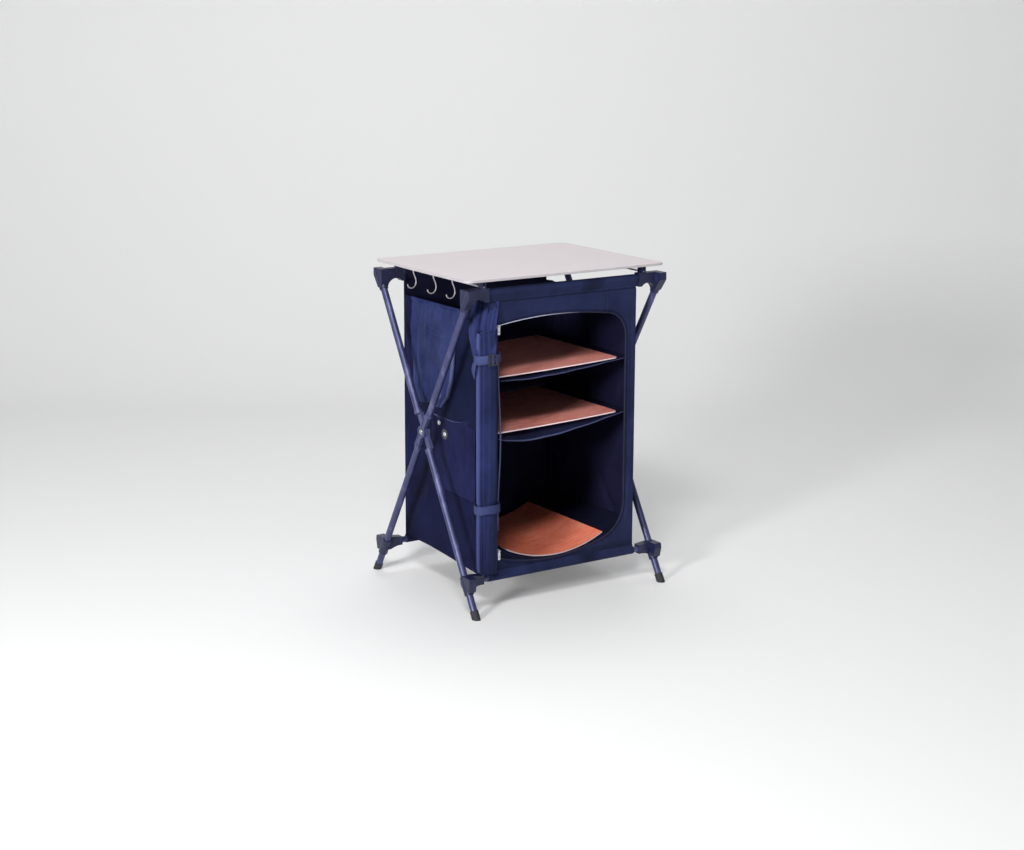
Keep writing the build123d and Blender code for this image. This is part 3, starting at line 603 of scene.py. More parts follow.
x, z = front_ring()
front_folds = [
    (-0.222, 0.790, -0.205, 0.715, 0.007, -0.004),
    (-0.212, 0.792, -0.190, 0.752, 0.006, 0.005),
    (-0.200, 0.790, -0.150, 0.770, 0.007, -0.0035),
    (-0.20, 0.765, 0.10, 0.785, 0.009, -0.003),
    (-0.05, 0.790, 0.21, 0.775, 0.006, -0.002),
    (0.212, 0.74, 0.215, 0.42, 0.004, -0.0025),
    (0.218, 0.42, 0.206, 0.16, 0.006, 0.0025),
    (-0.20, 0.118, 0.05, 0.102, 0.007, -0.002),
    (0.05, 0.122, 0.22, 0.108, 0.007, 0.002),
]
free = clamp((wall_x - np.abs(x)) / 0.03)
y = -rail_y - 0.0006 - creases(x, z, front_folds) - ripple(x, z, 3, 0.0014) * free
front_cloth = lay_grid(
    "front_cloth", x, y, z, np.hstack([x, x[:, :1]]), np.hstack([z, z[:, :1]]), closed=True)
sew(front_cloth, navy, "front_face", ["front_panel"], cloth_thickness)

# %% [markdown]
# Each rail runs in a sleeve sewn from the panel's edge. The sleeve's section is a drop: a
# circle round the rail that draws in to the seam. Small puckers run across it where the
# stitching pulls.


# %% Sleeves on the rails
def sleeve(name, side, rail_z, rail_radius, hang, body):
    """Drop-shaped sleeve: radius round the rail, then drawn in towards the seam line."""
    columns, rows = 48, 220
    turn = span(0, 2 * np.pi, columns + 1)[:-1]
    along = span(-wall_x - 0.0005, wall_x + 0.0005, rows)[:, None]
    radius = rail_radius + 0.0014
    toward = -1.0 if hang > 0 else 1.0
    low = clamp(-np.cos(turn))
    across = radius * np.sin(turn) * (1 - 0.82 * low**2)
    height = -toward * radius * np.cos(turn) + toward * low**2 * (abs(hang) - radius)
    pucker = 0.0005 * np.sin(along * 520 + 3 * np.sin(along * 37)) * (0.4 + 0.6 * low)
    sag = 0.0007 * np.sin(along * 61 + rail_z) + 0.0005 * np.sin(along * 143)
    across = across * (1 + 30 * pucker)
    x = along + 0 * turn
    y = side * rail_y + across + 0 * along
    z = rail_z + height + sag * low + 0 * along
    around = np.concatenate([turn, [2 * np.pi]]) * radius + 0 * along
    piece = lay_grid(name, x, y, z, around, np.repeat(along, columns + 1, axis=1), closed=True)
    if toward > 0:
        piece.data.flip_normals()
    sew(piece, navy, body, (), thin_cloth)


sleeve("front_top_sleeve", -1, top_rail_z, top_rail_radius, 0.020, "frame_b")
sleeve("back_top_sleeve", 1, top_rail_z, top_rail_radius, 0.020, "frame_a")
sleeve("front_low_sleeve", -1, low_rail_z, low_rail_radius, -0.016, "front_carriage")
sleeve("back_low_sleeve", 1, low_rail_z, low_rail_radius, -0.016, "back_carriage")

# %% [markdown]
# The back is a plain cloth between its two sleeves, slack enough to show a few soft creases
# that run from the corners.

# %% Back cloth
x, z = np.meshgrid(span(-wall_x, wall_x, 120), span(panel_low, panel_top, 170))
back_folds = [
    (-0.21, 0.78, -0.05, 0.66, 0.012, 0.004),
    (0.21, 0.78, 0.07, 0.70, 0.012, 0.004),
    (-0.20, 0.12, -0.08, 0.24, 0.014, 0.003),
    (0.20, 0.13, 0.10, 0.30, 0.012, 0.003),
    (-0.15, 0.45, 0.12, 0.43, 0.016, -0.003),
    (-0.10, 0.60, 0.18, 0.56, 0.014, -0.003),
]
free = clamp((wall_x - np.abs(x)) / 0.03)
y = rail_y + 0.0006 + (creases(x, z, back_folds) + ripple(x, z, 8, 0.0025)) * free
back_cloth = lay_grid("back_cloth", x, y, z, x, z, flipped=True)
sew(back_cloth, navy, "back_face", ["back_panel"], cloth_thickness)

# %% [markdown]
# The side walls hang between the front and back. Their top edge is drawn in with elastic, so
# upright ruffles start there and die away downwards; the lower edge rises towards the back and
# is cut away round the rails. Long folds run down from the corners.


# %% Side walls
def side_wall(name, side, replaced):
    """Wall x = side * (half width + ruffles + folds + slack), over a grid of y and z."""
    half, wall_low = rail_y - 0.0002, 0.088
    v = span(0, 1, 190)[:, None]
    y = span(-half, half, 150) + 0 * v
    bottom = wall_low + 0.012 * (y / half) + 0.004 * (1 - (y / half) ** 2)
    cut_y = [0, 0.1660, 0.1690, 0.1850, 0.1880, half]
    cut = np.interp(np.abs(y), cut_y, [0, 0, 0.0957, 0.0957, 0.1026, 0.1026])
    bottom = np.maximum(bottom, cut)
    z = bottom + v * (wall_top_z - bottom)
    down = wall_top_z - z
    ruffle = gathers((y + half) / (2 * half), down, 40 + side, 60, 0.0022, 0.035)
    folds = [
        (-0.19, 0.74, -0.15, 0.56, 0.010, 0.006),
        (-0.17, 0.72, -0.12, 0.40, 0.012, 0.004),
        (-0.195, 0.60, -0.185, 0.20, 0.007, 0.004),
        (0.19, 0.73, 0.16, 0.50, 0.012, 0.005),
        (0.18, 0.40, 0.19, 0.16, 0.010, 0.004),
        (-0.16, 0.36, -0.13, 0.14, 0.012, 0.004),
        (-0.10, 0.30, -0.16, 0.12, 0.012, -0.003),
        (0.05, 0.28, 0.16, 0.14, 0.014, 0.003),
        (-0.05, 0.68, 0.03, 0.55, 0.012, 0.004),
    ]
    if side > 0:
        folds = [(-a * 0.9, b, -c * 0.9, d, w, e) for a, b, c, d, w, e in folds]
    edge = clamp((half - np.abs(y)) / 0.02)
    slack = 1.3 * creases(y, z, folds) + ripple(y, z, 21 + side, 0.0055)
    if side < 0:
        covered = clamp((z - 0.255) / 0.015) * clamp((0.165 - y) / 0.01)
        slack = np.minimum(slack, 0.0002) * covered + slack * (1 - covered)
        ruffle = ruffle * (1 - covered)
    x = side * (wall_x - 0.0008 + edge * slack + edge * ruffle)
    if side < 0:
        x, y, z = (part[:, ::-1] for part in (x, y, z))
    piece = lay_grid(name, x, y, z, y, z)
    sew(piece, shaded_navy, "cabinet", [replaced], cloth_thickness)


side_wall("left_wall", -1, "side_wall_left")
side_wall("right_wall", 1, "side_wall_right")

# %% [markdown]
# Each of the two upper boards lies on a sling of cloth between the side walls, and the bottom
# board lies in a trough of cloth. The upper boards hang a little lower at the left and sag very
# little.

# %% Upper boards
shelf_half_x, shelf_half_y, board_thickness = 0.186, 0.185, 0.003
sling_half_x = wall_x - 0.0023


def board_line(level, x):
    """Height of a board's top: level, plus a slope, plus a sag that grows with x squared."""
    return level + 0.006 * x / shelf_half_x + 0.0018 * (x / shelf_half_x) ** 2


def shelf_board(name, level, body, replaced):
    """Rectangle whose rows get shorter near its ends by the arc of a small corner."""
    corner = 0.009
    turn = span(0, np.pi / 2, 9)
    row_y = np.concatenate([-shelf_half_y + corner * (1 - np.cos(turn)),
                            span(-shelf_half_y + corner, shelf_half_y - corner, 40)[1:-1],
                            shelf_half_y - corner * (1 - np.cos(turn[::-1]))])
    into = np.clip(np.abs(row_y) - shelf_half_y + corner, 0, corner)
    row_half = shelf_half_x - corner + np.sqrt(corner**2 - into**2)
    x = span(-1, 1, 90) * row_half[:, None]
    y = row_y[:, None] + 0 * x
    piece = lay_grid(name, x, y, board_line(level, x), x, y)
    piece.data.shade_flat()
    board_wall = piece.modifiers.new("board", "SOLIDIFY")
    board_wall.thickness = board_thickness
    board_wall.offset = -1.0
    dress(piece, wood, body, [replaced])


upper_level, middle_level = 0.5994, 0.4562
shelf_board("upper_board", upper_level, "upper_shelf", "shelf_board_upper")
shelf_board("middle_board", middle_level, "middle_shelf", "shelf_board_middle")

# %% [markdown]
# A sling follows its board's underside, and its slack front edge hangs a little below it, with a
# painted highlight along it, a soft pale line. The trough is an arc of a circle that runs just
# under the bowed board. Beyond the arc its cloth rises straight to the walls, and at the front
# and back it hangs down in an apron.


# %% Slings and floor
def sling(name, level, droop, replaced):
    """Follows the board's underside; near the front edge it droops by a half sine across x."""
    x, y = np.meshgrid(span(-sling_half_x, sling_half_x, 140),
                       span(-shelf_half_y - 0.005, shelf_half_y + 0.005, 60))
    arc = board_line(level, x) - board_thickness - 0.0010
    front = np.exp(-(y + shelf_half_y + 0.005) / 0.022)
    inside = clamp((x + 0.2) / 0.4)
    hang = droop * front * arch(inside**0.62)
    z = arc - hang - 0.0012 * np.abs(np.sin(x * 33 + 9 * y)) * front
    piece = lay_grid(name, x, y, z, x, y)
    sew(piece, sling_navy_painted_shade, "cabinet", [replaced], cloth_thickness)


sling("upper_sling", upper_level, 0.012, "sling_upper")
sling("middle_sling", middle_level, 0.028, "sling_middle")

floor_half, floor_rise, floor_z, under_board = wall_x * 0.664, 0.036, 0.105, 0.0033
floor_radius = (floor_half**2 + floor_rise**2) / (2 * floor_rise) + under_board
trough = floor_half + 0.006
x, y = np.meshgrid(span(-sling_half_x, sling_half_x, 160),
                   span(-rail_y + 0.0013, rail_y - 0.0013, 110))
under = floor_z - under_board + floor_radius
arc = under - np.sqrt(floor_radius**2 - np.minimum(np.abs(x), trough) ** 2)
wing = (np.abs(x) - trough) / (sling_half_x - trough)
trough_z = under - math.sqrt(floor_radius**2 - trough**2)
z = np.where(np.abs(x) < trough, arc, trough_z + wing * (0.170 - trough_z)) - 0.001
z = z - 0.003 * np.abs(np.sin(y * 47)) * clamp(wing) * (1 - clamp(wing)) * 4
apron_rows, apron_low = 12, 0.094
apron = span(1, 0, apron_rows + 1)[:-1, None]
x = np.vstack([np.repeat(x[:1], apron_rows, axis=0), x, np.repeat(x[:1], apron_rows, axis=0)])
y = np.vstack([y[:1] + 0 * apron, y, y[-1:] + 0 * apron])
z = np.vstack([z[:1] - apron * (z[:1] - apron_low), z,
               z[-1:] - apron[::-1] * (z[-1:] - apron_low)])
floor_cloth = lay_grid("floor_cloth", x, y, z, x, y)
sew(floor_cloth, floor_navy_painted_shade, "cabinet", ["floor_panel"], cloth_thickness)

# %% [markdown]
# The door is rolled up beside the opening. A rolled cloth is a spiral: the angle grows with u
# while the radius shrinks a little each turn. The section is an oval with a sharper fold at its
# front left, and the two straps pinch it. Below the lower strap the roll opens into loose folds.

# %% Rolled door
roll_x, roll_half_x, roll_half_y = -0.242, 0.034, 0.0215
edge_share = (wall_x + roll_x) / 0.0359
roll_y = -rail_y - 0.0013 - 0.0234 * math.sqrt(1 - edge_share**2)
roll_low, roll_high = 0.108, 0.722
upper_strap_z, lower_strap_z = roll_high - 0.067, roll_low + 0.167


def pinch(z):
    """How the straps draw the roll in: one minus a dip of bell shape at each strap."""
    reach = 0.020
    return 1 - 0.06 * (bell((z - upper_strap_z) / reach) + bell((z - lower_strap_z) / reach))


turns, start_turn = 2.3, 0.35
first_turn_length, mean_shrink = 178e-3, 0.72
u = span(0, 1, 300)
v = span(0, 1, 150)[:, None]
angle = 2 * np.pi * turns * u + start_turn
around = angle % (2 * np.pi)
z = roll_low + v * (roll_high - roll_low)
loose = clamp((lower_strap_z - z) / 0.10) + 0.6 * clamp((z - upper_strap_z) / 0.05)
ends = 1 - 0.10 * np.exp(-(z - roll_low) / 0.012) - 0.08 * np.exp(-(roll_high - z) / 0.02)
fold_line = 0.075 * np.exp(-((around - 4.05 - 0.05 * np.sin(z * 11)) / 0.16) ** 2)
fold_line = fold_line + 0.035 * np.exp(-((around - 4.65) / 0.07) ** 2)
ridge = (0.020 + 0.055 * loose) * np.cos(5 * angle + 1.2 * np.sin(z * 9))
ridge = ridge + (0.010 + 0.03 * loose) * np.cos(11 * angle + 2.0 * np.sin(z * 7 + 1))
dents = 0.02 * np.sin(z * 61 + 2 * np.sin(angle)) * bell((z - 0.45) / 0.2) * np.cos(angle + 1)
size = (1 - 0.46 * u) * pinch(z) * ends * (0.92 + ridge + fold_line + 0.4 * dents)
x = roll_x + roll_half_x * size * np.cos(angle)
y = roll_y + roll_half_y * size * np.sin(angle)
z = z + 0.004 * np.sin(angle * 1.3) * np.where(v > 0.5, 1, -1) * np.abs(2 * v - 1) ** 8
length = first_turn_length * turns * mean_shrink
door_roll = lay_grid("door_cloth_roll", x, y, z, u * length + 0 * v, z, flipped=True)
sew(door_roll, roll_navy_painted_light, "front_face", ["door_roll"], thin_cloth)

# %% [markdown]
# The door is sewn on along the panel's left edge. A narrow strip of it runs from that seam into
# the roll: a straight line between the seam and the roll's inner side, with a slight belly.

# %% Strip between the seam and the roll
u = span(0, 1, 12)
v = span(0, 1, 150)[:, None]
z = roll_low + 0.004 + v * (roll_high - roll_low - 0.010) + 0 * u
strip_width = 0.022
seam_x, seam_y = -wall_x + 0.0012, -rail_y - 0.0016
inner_x, inner_y = roll_x + 0.004, roll_y + roll_half_y * 0.62
x = seam_x + u * (inner_x - seam_x) + 0 * v
y = seam_y + u * (inner_y - seam_y) - 0.0012 * arch(u) * (1 + 0.4 * np.sin(v * 31))
seam_strip = lay_grid("door_seam_cloth", x, y, z, u * strip_width + 0 * v, z)
sew(seam_strip, navy, "front_face", (), thin_cloth)

# %% [markdown]
# Two webbing straps hold the roll. A strap is a flat band carried round the oval, slightly
# crowned across its width. The upper one has a short pointed end that hangs free at the left.


# %% Straps round the roll
def roll_strap(name, level, replaced):
    """Band round the oval: its radius is crowned across the width, its height waves a little."""
    half_width, mean_radius = 0.011, 0.028
    turn = span(0, 2 * np.pi, 161)[:-1]
    across = span(-1, 1, 9)[:, None]
    grow = 0.0014 - 0.0007 * across**2 + 0.0006 * np.cos(5 * turn + 0.6)
    x = roll_x + (roll_half_x + grow) * np.cos(turn)
    y = roll_y + (roll_half_y + grow) * np.sin(turn)
    z = level + half_width * across + 0.0010 * np.sin(turn * 3)
    around = np.concatenate([turn, [2 * np.pi]]) * mean_radius + 0 * across
    piece = lay_grid(name, x, y, z, half_width * across + 0 * around, around, closed=True)
    sew(piece, webbing, "front_face", [replaced], 0.0014)


roll_strap("door_strap_upper_web", upper_strap_z, "door_strap_upper")
roll_strap("door_strap_lower_web", lower_strap_z, "door_strap_lower")

end_length = 0.040
v = span(0, 1, 40)[:, None]
u = span(-1, 1, 9)
half_width = 0.008 * np.clip((1.02 - v) / 0.55, 0.05, 1) ** 0.8
x = -0.2765 - 0.004 * arch(v) - 0.0008 * np.cos(u * np.pi / 2)
y = roll_y + 0.002 + u * half_width + 0 * v
z = upper_strap_z - 0.008 - v * end_length + 0 * u
strap_end = lay_grid("door_strap_end_web", x, y, z, u * half_width, v * end_length + 0 * u,
                     flipped=True)
sew(strap_end, webbing, "front_face", (), 0.0013)

# %% [markdown]
# Above the upper strap the cloth isn't rolled. It opens upwards like a sail and is caught in at
# the corner, between the end of the top sleeve and the side wall, so it lies in long folds. The
# surface is a sheet between two edge lines, one at the left and one at the front, with folds
# that run from the corner down to the strap.


# %% Corner cloth above the roll
def line_through(t, stops):
    """A smooth line: t picks a place between listed stops, each with a share, an x, a y and a z."""
    shares, xs, ys, zs = (np.array([stop[k] for stop in stops]) for k in range(4))
    eased = np.interp(t, shares, np.arange(len(stops)))
    step = np.clip(eased.astype(int), 0, len(stops) - 2)
    part = eased - step
    before, after = np.clip(step - 1, 0, None), np.clip(step + 2, None, len(stops) - 1)

    def smooth(values):
        a, b, c, d = values[before], values[step], values[step + 1], values[after]
        bend = 2 * a - 5 * b + 4 * c - d + part * (3 * (b - c) + d - a)
        return b + 0.5 * part * (c - a + part * bend)

    return smooth(xs), smooth(ys), smooth(zs)


t = span(0, 1, 120)
left_x, left_y, left_z = line_through(t, [
    (0.0, -0.2285, -0.140, 0.792), (0.3, -0.246, -0.158, 0.758), (0.6, -0.268, -0.184, 0.715),
    (0.85, -0.2745, -0.206, 0.680), (1.0, -0.2745, -0.214, 0.662)])
front_x, front_y, front_z = line_through(t, [
    (0.0, -0.196, -0.2085, 0.790), (0.3, -0.200, -0.2125, 0.770), (0.6, -0.214, -0.226, 0.730),
    (0.85, -0.226, -0.2445, 0.690), (1.0, -0.232, -0.2500, 0.662)])
drop = t[:, None]
ease = span(0, 1, 90) + 0 * drop
x, y, z = (left[:, None] * (1 - ease) + front[:, None] * ease for left, front in
           ((left_x, front_x), (left_y, front_y), (left_z, front_z)))
belly = 0.014 * arch(ease**0.9) * (0.45 + 0.55 * arch(np.clip(drop, 0.05, 1)))
long_folds = (
    0.0050 * bell((ease - 0.20 - 0.10 * drop) / 0.07)
    - 0.0110 * bell((ease - 0.46 + 0.05 * drop) / 0.06) * arch(clamp(drop * 1.1))
    + 0.0045 * bell((ease - 0.62 + 0.03 * drop) / 0.05)
    - 0.0050 * bell((ease - 0.80) / 0.05) * (1 - drop)
    + 0.0035 * bell((ease - 0.90 + 0.1 * drop) / 0.04))
out = belly + long_folds * arch(clamp(0.08 + 0.92 * drop)) ** 0.5
x = x - out * 0.72
y = y - out * 0.69
corner_cloth = lay_grid("corner_cloth", x, y, z, ease * 0.075, drop * 0.135 + 0 * ease)
corner_cloth.data.flip_normals()
sew(corner_cloth, painted_light_navy, "front_face", (), thin_cloth)

# %% [markdown]
# The opening's left edge has no zip. It is bound with a narrow folded tape, paler than the
# cloth, that bows a little into the opening where it isn't held.

# %% Binding on the opening's left edge
v = span(0, 1, 150)[:, None]
turn = span(0.35, 2 * np.pi - 0.35, 14)
binding_low, binding_length = 0.205, 0.435
z = binding_low + v * binding_length
bow = 0.006 * arch(clamp((z - 0.27) / 0.34)) ** 1.5
x = door_left + 0.0006 + bow + 0.0019 * np.cos(turn)
y = -rail_y - 0.0012 - bow * 0.35 + 0.0011 * np.sin(turn)
around = turn * 0.0018 + 0 * v
edge_binding = lay_grid("edge_binding", x, y, z + 0 * turn, around, z + 0 * turn)
sew(edge_binding, piping, "front_face", (), 0.0005)

# %% [markdown]
# The zip has a woven tape sewn on the front cloth and a chain of fine coils on the tape's
# inner edge. The tape follows the opening's three free sides; the chain is a thin flattened
# round whose thickness swells with each tooth, one every three millimetres.

# %% Zip tape and chain
free_x, free_z, free_turn = edge_x[:free_count], edge_z[:free_count], edge_turn[:free_count]
share = span(0, 1, 10)[:, None]
outward = 0.0004 + share * 0.0078
crown = 0.0009 * arch(share)
x = free_x + outward * np.cos(free_turn)
z = free_z + outward * np.sin(free_turn)
y = -rail_y - 0.0016 - crown + 0 * x
run = np.concatenate([[0], np.cumsum(np.hypot(np.diff(free_x), np.diff(free_z)))])
tape_piece = lay_grid("zip_tape_band", x[::-1], y[::-1], z[::-1], outward[::-1] + 0 * run,
                      run + 0 * outward)
sew(tape_piece, tape, "front_face", ["zip_tape"], 0.0007)

chain_points, tooth_pitch, chain_inset = 900, 0.003, 0.0016
fine = span(0, run[-1], chain_points)
line_x, line_z = np.interp(fine, run, free_x), np.interp(fine, run, free_z)
line_turn = np.interp(fine, run, np.unwrap(free_turn))
around = span(0, 2 * np.pi, 9)[:-1][:, None]
tooth = 0.0011 + 0.0003 * np.sin(fine * 2 * np.pi / tooth_pitch)
x = line_x + (chain_inset + tooth * np.cos(around)) * np.cos(line_turn)
z = line_z + (chain_inset + tooth * np.cos(around)) * np.sin(line_turn)
y = -rail_y - 0.0026 + tooth * np.sin(around) * 0.8
blank = np.zeros((chain_points, len(around) + 1))
chain_piece = lay_grid("zip_chain", x.T, y.T, z.T, blank, blank, closed=True, flipped=True)
dress(chain_piece, chain, "front_face")

# %% [markdown]
# The left wall carries a flat patch pocket under the crossing of the legs, with an eyelet and
# press studs. Its top edge is slack and rises towards the front. Between it and the bag above
# lies a dark sheet on the wall: painted shade for the dark zone there.

# %% Patch pocket and painted shade sheet
s, t = np.meshgrid(span(0, 1, 100), span(0, 1, 90))
pocket_width, pocket_top = 0.210, 0.4618
y = 0.060 - s * pocket_width
top = pocket_top + 0.024 * clamp((s - 0.45) / 0.55) ** 1.6
z = 0.268 + (1 - s) * 0.004 + t * (top - 0.272)
pocket_folds = [
    (-0.035, 0.455, -0.030, 0.30, 0.008, 0.0035),
    (0.040, 0.450, 0.046, 0.30, 0.007, 0.003),
    (-0.09, 0.46, -0.125, 0.33, 0.010, 0.006),
    (-0.14, 0.42, -0.06, 0.30, 0.010, -0.004),
    (-0.06, 0.40, -0.11, 0.29, 0.008, 0.005),
    (-0.03, 0.36, -0.09, 0.34, 0.007, 0.004),
]
belly = 0.004 * arch(s) * arch(t**0.8) + 0.003 * t**6 * arch(s)
flat_spot = np.exp(-(((y - 0.012) / 0.045) ** 4) - (((z - 0.430) / 0.040) ** 4))
loose = creases(y, z, pocket_folds) + ripple(y, z, 31, 0.0025)
raised = belly + loose * arch(s) ** 0.6 * np.sin(np.pi * np.clip(t, 0, 0.9))
x = -wall_x - 0.0016 - (0.0006 + clamp(raised)) * (1 - flat_spot)
pocket = lay_grid("pocket_cloth", x, y, z, y, z - top + pocket_top)
sew(pocket, pocket_navy_painted_shade, "cabinet", ["side_pocket"], cloth_thickness)

s, t = np.meshgrid(span(0, 1, 70), span(0, 1, 90))
shade_field_height = 0.275
z = 0.735 - t * shade_field_height
y = np.interp(z, [0.46, 0.50, 0.56, 0.66, 0.735], [0.030, 0.012, -0.035, -0.050, -0.060])
y = y + s * (-0.1905 - y)
sink = 0.0035 * arch(s) * arch(t)
x = -wall_x - 0.0040 + sink * 0.6 - 0.0006 * np.sin(y * 70 + z * 25)
painted_shade_field = lay_grid("painted_shade_field", x, y, z, y, z)
sew(painted_shade_field, shade_sheet, "cabinet", (), 0.0006)

# %% [markdown]
# Above hangs a gear bag, gathered into elastic at the top. It stands out from the wall: its
# height over the wall rises gently from the back, stays nearly level and drops steeply at the
# front edge, which slants. Gathers start at the elastic and die away downwards, and slack cloth
# adds a few creases.

# %% Gear bag
s, t = np.meshgrid(span(0, 1, 210), span(0, 1, 190))
bag_top = 0.7495 + 0.0012 * np.sin(s * 41) + 0.0008 * np.sin(s * 97 + 1)
bag_low = 0.4815 + 0.012 * s**2 + 0.0015 * np.sin(s * 35)
z = bag_top + t * (bag_low - bag_top)
front_edge = np.interp(z, [0.48, 0.495, 0.52, 0.563, 0.605, 0.665, 0.72, 0.75],
                       [0.008, -0.003, -0.031, -0.050, -0.058, -0.063, -0.080, -0.090])
back_edge = 0.153 + 0.003 * np.sin(t * 7)
y = back_edge + s * (front_edge - back_edge)
rise = (1 - np.exp(-s / 0.10)) * np.sqrt(clamp(1 - s**14))
hang = 0.42 + 0.58 * arch(clamp(t * 0.92 + 0.04)) ** 0.7
hang = hang * np.sqrt(clamp(1 - t**18))
bag_folds = [
    (0.135, 0.74, 0.140, 0.60, 0.006, 0.006),
    (0.118, 0.72, 0.122, 0.52, 0.007, -0.005),
    (0.055, 0.694, -0.02, 0.688, 0.004, 0.0028),
    (0.045, 0.681, -0.01, 0.672, 0.0035, 0.0026),
    (0.055, 0.667, 0.00, 0.661, 0.0035, 0.0024),
    (0.060, 0.735, 0.058, 0.64, 0.008, 0.004),
    (0.020, 0.60, -0.03, 0.54, 0.009, -0.004),
    (0.100, 0.63, 0.060, 0.50, 0.012, 0.004),
    (0.030, 0.58, 0.035, 0.49, 0.006, 0.0035),
    (0.075, 0.56, 0.080, 0.49, 0.006, 0.003),
]
soft = clamp(s / 0.06) * clamp((1 - s) / 0.05) * clamp((1 - t) / 0.05)
pulled = gathers(s, t, 5, 46, 0.0046, 0.085) * (0.25 + 0.75 * clamp(t / 0.04))
tucked = gathers(s, 1 - t, 9, 26, 0.0030, 0.10)
detail = 1.35 * creases(y, z, bag_folds) + ripple(y, z, 13, 0.0045) + pulled + tucked
bag_base = 0.0045
x = -wall_x - bag_base - 0.0135 * rise * hang - soft * detail
gear_bag = lay_grid("gear_bag_cloth", x, y, z, y, z)
sew(gear_bag, painted_light_navy, "cabinet", ["gear_bag"], cloth_thickness)

# %% [markdown]
# The bag's front edge ends in a folded facing, widest low down, with a stitched rib along each
# side, painted with a pale line as a highlight. A narrow elastic band closes the top; its upper
# edge is drawn into tiny waves.

# %% Facing and elastic of the bag
s, t = np.meshgrid(span(0, 1, 26), span(0, 1, 170))
z = 0.668 - t * 0.180
edge_y = np.interp(z, [0.485, 0.495, 0.52, 0.563, 0.605, 0.668],
                   [0.006, -0.003, -0.031, -0.050, -0.058, -0.064])
facing_width = 0.026
width = np.interp(t, [0, 0.3, 0.7, 0.9, 1.0], [0.004, 0.014, facing_width, 0.022, 0.010])
y = edge_y + s * width
ribs = 0.0016 * (bell((s - 0.06) / 0.07) + bell((s - 0.94) / 0.07))
hollow = 0.0030 * arch(s) * arch(t)
ends = arch(clamp(0.02 + 0.96 * t)) ** 0.15
stand = 0.0172 * ends * (1 - (1 - s) ** 9) * (0.86 + 0.14 * s)
x = -wall_x - bag_base - stand - ribs + hollow - 0.0006 * np.sin(t * 60) * s
x, y, z, across = (part[:, ::-1] for part in (x, y, z, facing_width * s))
facing = lay_grid("gear_bag_facing", x, y, z, across, z)
sew(facing, facing_navy_painted_light, "cabinet", (), 0.0010)

s, t = np.meshgrid(span(0, 1, 420), span(0, 1, 10))
waves = np.sin(s * 330 + 2.5 * np.sin(s * 23)) * (1 - 0.7 * t)
y = 0.151 - s * 0.243
z = 0.7560 - t * 0.0100 + 0.0011 * waves
x = -wall_x - 0.0075 - 0.0035 * arch(s) ** 0.3 - 0.0014 * waves - 0.001 * t
elastic = lay_grid("gear_bag_elastic", x, y, z, y, z)
sew(elastic, painted_light_navy, "cabinet", (), 0.0010)

# %% [markdown]
# A plain pale floor and a curved backdrop stand in for a photographer's paper. They are seen
# as nearly white by the camera and in reflections, but give the object only ordinary light.


# %% Floor and backdrop
paper = Finish("studio_paper", Roughness=0.9, Emission_Strength=1.0)
seen = sum((paper.node("ShaderNodeLightPath", output=name) for name in
            ("Is Camera Ray", "Is Glossy Ray", "Is Transmission Ray")), start=0.0).limited()
paper.skin.inputs["Base Color"].default_value = (0.80, 0.80, 0.80, 1.0)
paper.feed("Emission Color", paper.blend(seen, (0.0, 0.0, 0.0), (0.16, 0.16, 0.16)))

far, high, bend = 3.2, 4.5, 1.2
arc_turn = span(0, np.pi / 2, 30)
path_y = np.concatenate([[-6.0], far - bend + bend * np.sin(arc_turn), [far]])
path_z = np.concatenate([[0.0], bend - bend * np.cos(arc_turn), [high]])
turned = math.radians(33.0)
sheet_x, sheet_y = np.meshgrid(span(-7.0, 7.0, 2), path_y)
x = sheet_x * math.cos(turned) + sheet_y * math.sin(turned)
y = sheet_y * math.cos(turned) - sheet_x * math.sin(turned)
z = np.repeat(path_z[:, None], 2, axis=1) - 0.0002
backdrop = lay_grid("backdrop", x, y, z, x, y)
backdrop.data.materials.append(paper.material)
print("backdrop of", len(path_y) - 1, "strips")

# %% [markdown]
# Two soft lamps do most of the work, as in the photograph: a low one far to the left, which
# makes the left wall brighter than the front, and a high one at the front left, which reaches
# through the door on to the fronts of the boards. A lamp above lights the worktop, a weak one
# the front, and an even world fills the shadows.


# %% Lights
from mathutils import Matrix, Vector


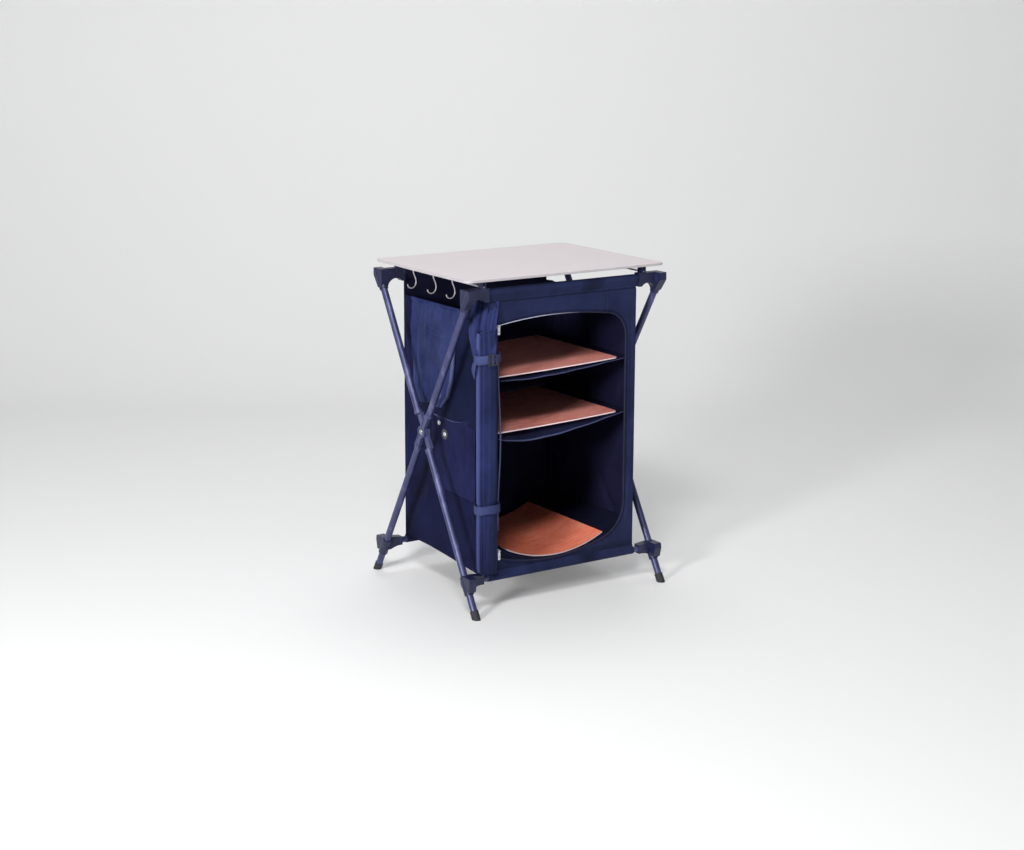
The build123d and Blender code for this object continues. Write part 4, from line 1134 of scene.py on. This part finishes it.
def lamp(name, place, aim, size, power):
    data = bpy.data.lights.new(name, "AREA")
    data.energy, data.size = power, size
    made = bpy.data.objects.new(name, data)
    bpy.context.scene.collection.objects.link(made)
    made.location = place
    made.rotation_mode = "QUATERNION"
    made.rotation_quaternion = (Vector(aim) - Vector(place)).to_track_quat("-Z", "Y")


lamp("key_lamp", (-4.06, -1.93, 1.66), (0, 0, 0.45), 0.7, 128.0)
lamp("door_lamp", (-2.22, -2.47, 3.78), (0, 0, 0.45), 0.9, 96.0)
lamp("front_lamp", (0.6, -4.4, 1.5), (0, 0, 0.4), 1.6, 8.0)
lamp("top_lamp", (0.5, 0.9, 3.6), (0, 0, 0.8), 1.6, 26.0)
world = bpy.data.worlds.new("studio")
bpy.context.scene.world = world
world.use_nodes = True
sky = world.node_tree.nodes["Background"].inputs
sky["Color"].default_value, sky["Strength"].default_value = (0.95, 0.97, 1.0, 1.0), 0.17
print("four lamps and a world")

# %% [markdown]
# The camera stands where the photographer stood: found from the corners of the worktop and the
# feet, about five metres away, 33 degrees round to the left, looking 12 degrees down.

# %% Camera
camera_data = bpy.data.cameras.new("camera")
camera = bpy.data.objects.new("camera", camera_data)
bpy.context.scene.collection.objects.link(camera)
picture_width, picture_height = 1024, 850
focal_pixels, centre_column, centre_row = 1922.681, 506.09, 381.314
film_width = 36.0
camera_data.sensor_width = film_width
camera_data.lens = focal_pixels / picture_width * film_width
camera_data.shift_x = (picture_width / 2 - centre_column) / picture_width
camera_data.shift_y = (centre_row - picture_height / 2) / picture_width
around_z, above, tilt = (math.radians(angle) for angle in (-33.023, 11.887, 0.174))
back = Vector((math.sin(around_z) * math.cos(above), -math.cos(around_z) * math.cos(above),
               math.sin(above)))
target, distance = Vector((-0.018752, 0.030893, 0.526855)), 5.064221
camera.location = target + back * distance
look = (-back).to_track_quat("-Z", "Y").to_matrix().to_4x4()
roll = Matrix.Rotation(tilt, 4, "Z")
camera.rotation_mode = "QUATERNION"
camera.rotation_quaternion = (look @ roll).to_quaternion()
camera_data.clip_start, camera_data.clip_end = 0.05, 60.0
bpy.context.scene.camera = camera
bpy.context.scene.view_settings.view_transform = "Standard"
print("camera at", [round(v, 3) for v in camera.location])
